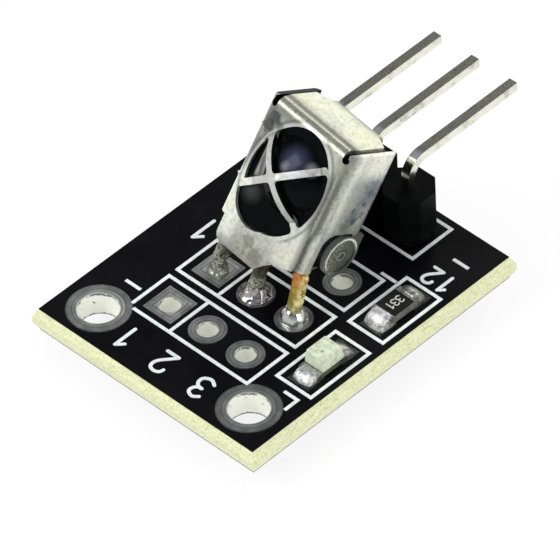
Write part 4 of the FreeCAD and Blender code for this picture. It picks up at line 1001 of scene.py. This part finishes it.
for k in range(3):
    printed(f"legend_hole_{k + 1}", str(k + 1), (ROWS_X + (k - 1) * PITCH, -0.55), 1.4, 0.18, math.pi, TOP,
            INK_THICKNESS,
            ink)
printed("legend_first_pin", "1", (-5.1, 7.3), 1.5, 0.19, math.pi, TOP, INK_THICKNESS, ink)
printed("legend_resistor", "12", (5.82, 12.38), 1.1, 0.17, math.pi, TOP, INK_THICKNESS, ink, gap=0.22)
coat_low, coat_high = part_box("resistor_coat")
coat_top = coat_high[2] / MM
marking = simple("marking_ink", linear(170, 170, 160), linear(214, 214, 206), 0.6, 0.0, 14.0, 0.2, 0.01)
printed("resistor_marking", "331", (CHIPS_X, (coat_low[1] + coat_high[1]) / 2 / MM), 0.47, 0.062,
        -math.pi / 2, coat_top - 0.004, 0.012, marking, gap=0.12)

# Floor, world and lamps

floor_z = cad_box[0][2]
floor_mesh = bpy.data.meshes.new("floor")
FLOOR_HALF = 1.2
FLOOR_SHARE = 0.86
corners = [(sx * FLOOR_HALF, sy * FLOOR_HALF, floor_z) for sx, sy in CORNERS]
floor_mesh.from_pydata(corners, [], [(0, 1, 2, 3)])
floor = bpy.data.objects.new("floor", floor_mesh)
bpy.context.scene.collection.objects.link(floor)
paper, tree, shader = new_material("paper_floor")
surface(tree, shader, (0.88, 0.88, 0.87, 1), 0.9)
shader.inputs["Specular IOR Level"].default_value = 0.1
glow = tree.nodes.new("ShaderNodeEmission")
glow.inputs["Color"].default_value = (1, 1, 1, 1)
glow.inputs["Strength"].default_value = 1.0
path = tree.nodes.new("ShaderNodeLightPath")
seen = maths(tree, "ADD", maths(tree, "ADD", path.outputs["Is Camera Ray"], path.outputs["Is Glossy Ray"]),
             path.outputs["Is Transmission Ray"], clamp=True)
share = product(tree, seen, FLOOR_SHARE)
mix = tree.nodes.new("ShaderNodeMixShader")
tree.links.new(share, mix.inputs[0])
tree.links.new(shader.outputs[0], mix.inputs[1])
tree.links.new(glow.outputs[0], mix.inputs[2])
output = next(n for n in tree.nodes if n.type == "OUTPUT_MATERIAL")
tree.links.new(mix.outputs[0], output.inputs[0])
floor_mesh.materials.append(paper)

world = bpy.data.worlds.new("studio")
bpy.context.scene.world = world
world.use_nodes = True
tree = world.node_tree
tree.nodes.clear()
output = tree.nodes.new("ShaderNodeOutputWorld")
where = tree.nodes.new("ShaderNodeTexCoord")
upness = maths(tree, "ADD", product(tree, components(tree, where.outputs["Generated"])[2], 0.5), 0.5)
room = ramp(tree, upness, [(0.0, grey(0.9)), (0.52, grey(0.95)), (0.62, grey(0.8)), (0.72, grey(0.2)),
                           (0.87, grey(0.12)), (0.93, (0.4, 0.42, 0.52, 1)), (1.0, (0.5, 0.52, 0.6, 1))])
rear = vector_value(tree, "DOT_PRODUCT", where.outputs["Generated"], (0.4, 0.9, 0.0))
rear = maths(tree, "ADD", product(tree, rear, 0.5), 0.5)
room = blend_colour(tree, 1.0, room, ramp(tree, rear, [(0.0, grey(0.72)), (0.7, grey(1.0))]), "MULTIPLY")
reflected = tree.nodes.new("ShaderNodeBackground")
tree.links.new(room, reflected.inputs[0])
even = tree.nodes.new("ShaderNodeBackground")
even.inputs[0].default_value = (0.55, 0.56, 0.58, 1)
white = tree.nodes.new("ShaderNodeBackground")
white.inputs[0].default_value = (1, 1, 1, 1)
path = tree.nodes.new("ShaderNodeLightPath")
first = tree.nodes.new("ShaderNodeMixShader")
bounced = maths(tree, "ADD", path.outputs["Is Glossy Ray"], path.outputs["Is Transmission Ray"], clamp=True)
tree.links.new(bounced, first.inputs[0])
tree.links.new(even.outputs[0], first.inputs[1])
tree.links.new(reflected.outputs[0], first.inputs[2])
second = tree.nodes.new("ShaderNodeMixShader")
tree.links.new(path.outputs["Is Camera Ray"], second.inputs[0])
tree.links.new(first.outputs[0], second.inputs[1])
tree.links.new(white.outputs[0], second.inputs[2])
tree.links.new(second.outputs[0], output.inputs[0])


def lamp(name, place, power, width, height):
    """A soft rectangular lamp at place, in metres, aimed at the middle of the board."""
    data = bpy.data.lights.new(name, "AREA")
    data.shape = "RECTANGLE"
    data.size = width
    data.size_y = height
    data.energy = power
    item = bpy.data.objects.new(name, data)
    bpy.context.scene.collection.objects.link(item)
    item.location = place
    aim = Vector((0, 0.007, 0.003)) - Vector(place)
    item.rotation_euler = aim.to_track_quat("-Z", "Y").to_euler()


lamp("key", (-0.18, -0.30, 0.34), 1.6, 0.22, 0.22)
lamp("fill", (0.42, 0.02, 0.20), 0.9, 0.20, 0.25)
lamp("back", (-0.05, 0.42, 0.26), 1.0, 0.40, 0.16)

# Camera, solved from the picture: the picture's width and the focal length, both in pixels

PIXELS = 560
FOCAL_PIXELS = 8000
turn = Vector((2.2156649, 0.8784939, -0.4161942))
shift = Vector((-0.281343, 0.124890, 387.385820))
origin = Vector((0.0, 6.95, 1.4))
rotation = Quaternion(turn.normalized(), turn.length).to_matrix()
place = (origin - rotation.transposed() @ shift) * MM
right, down, ahead = rotation[0], rotation[1], rotation[2]
pose = Matrix((right, -down, -ahead)).transposed().to_4x4()
pose.translation = place
data = bpy.data.cameras.new("camera")
data.sensor_width = 36
data.lens = data.sensor_width * FOCAL_PIXELS / PIXELS
data.clip_start = 0.01
data.clip_end = 20
camera = bpy.data.objects.new("camera", data)
camera.matrix_world = pose
bpy.context.scene.collection.objects.link(camera)
bpy.context.scene.camera = camera
bpy.context.scene.view_settings.view_transform = "Standard"
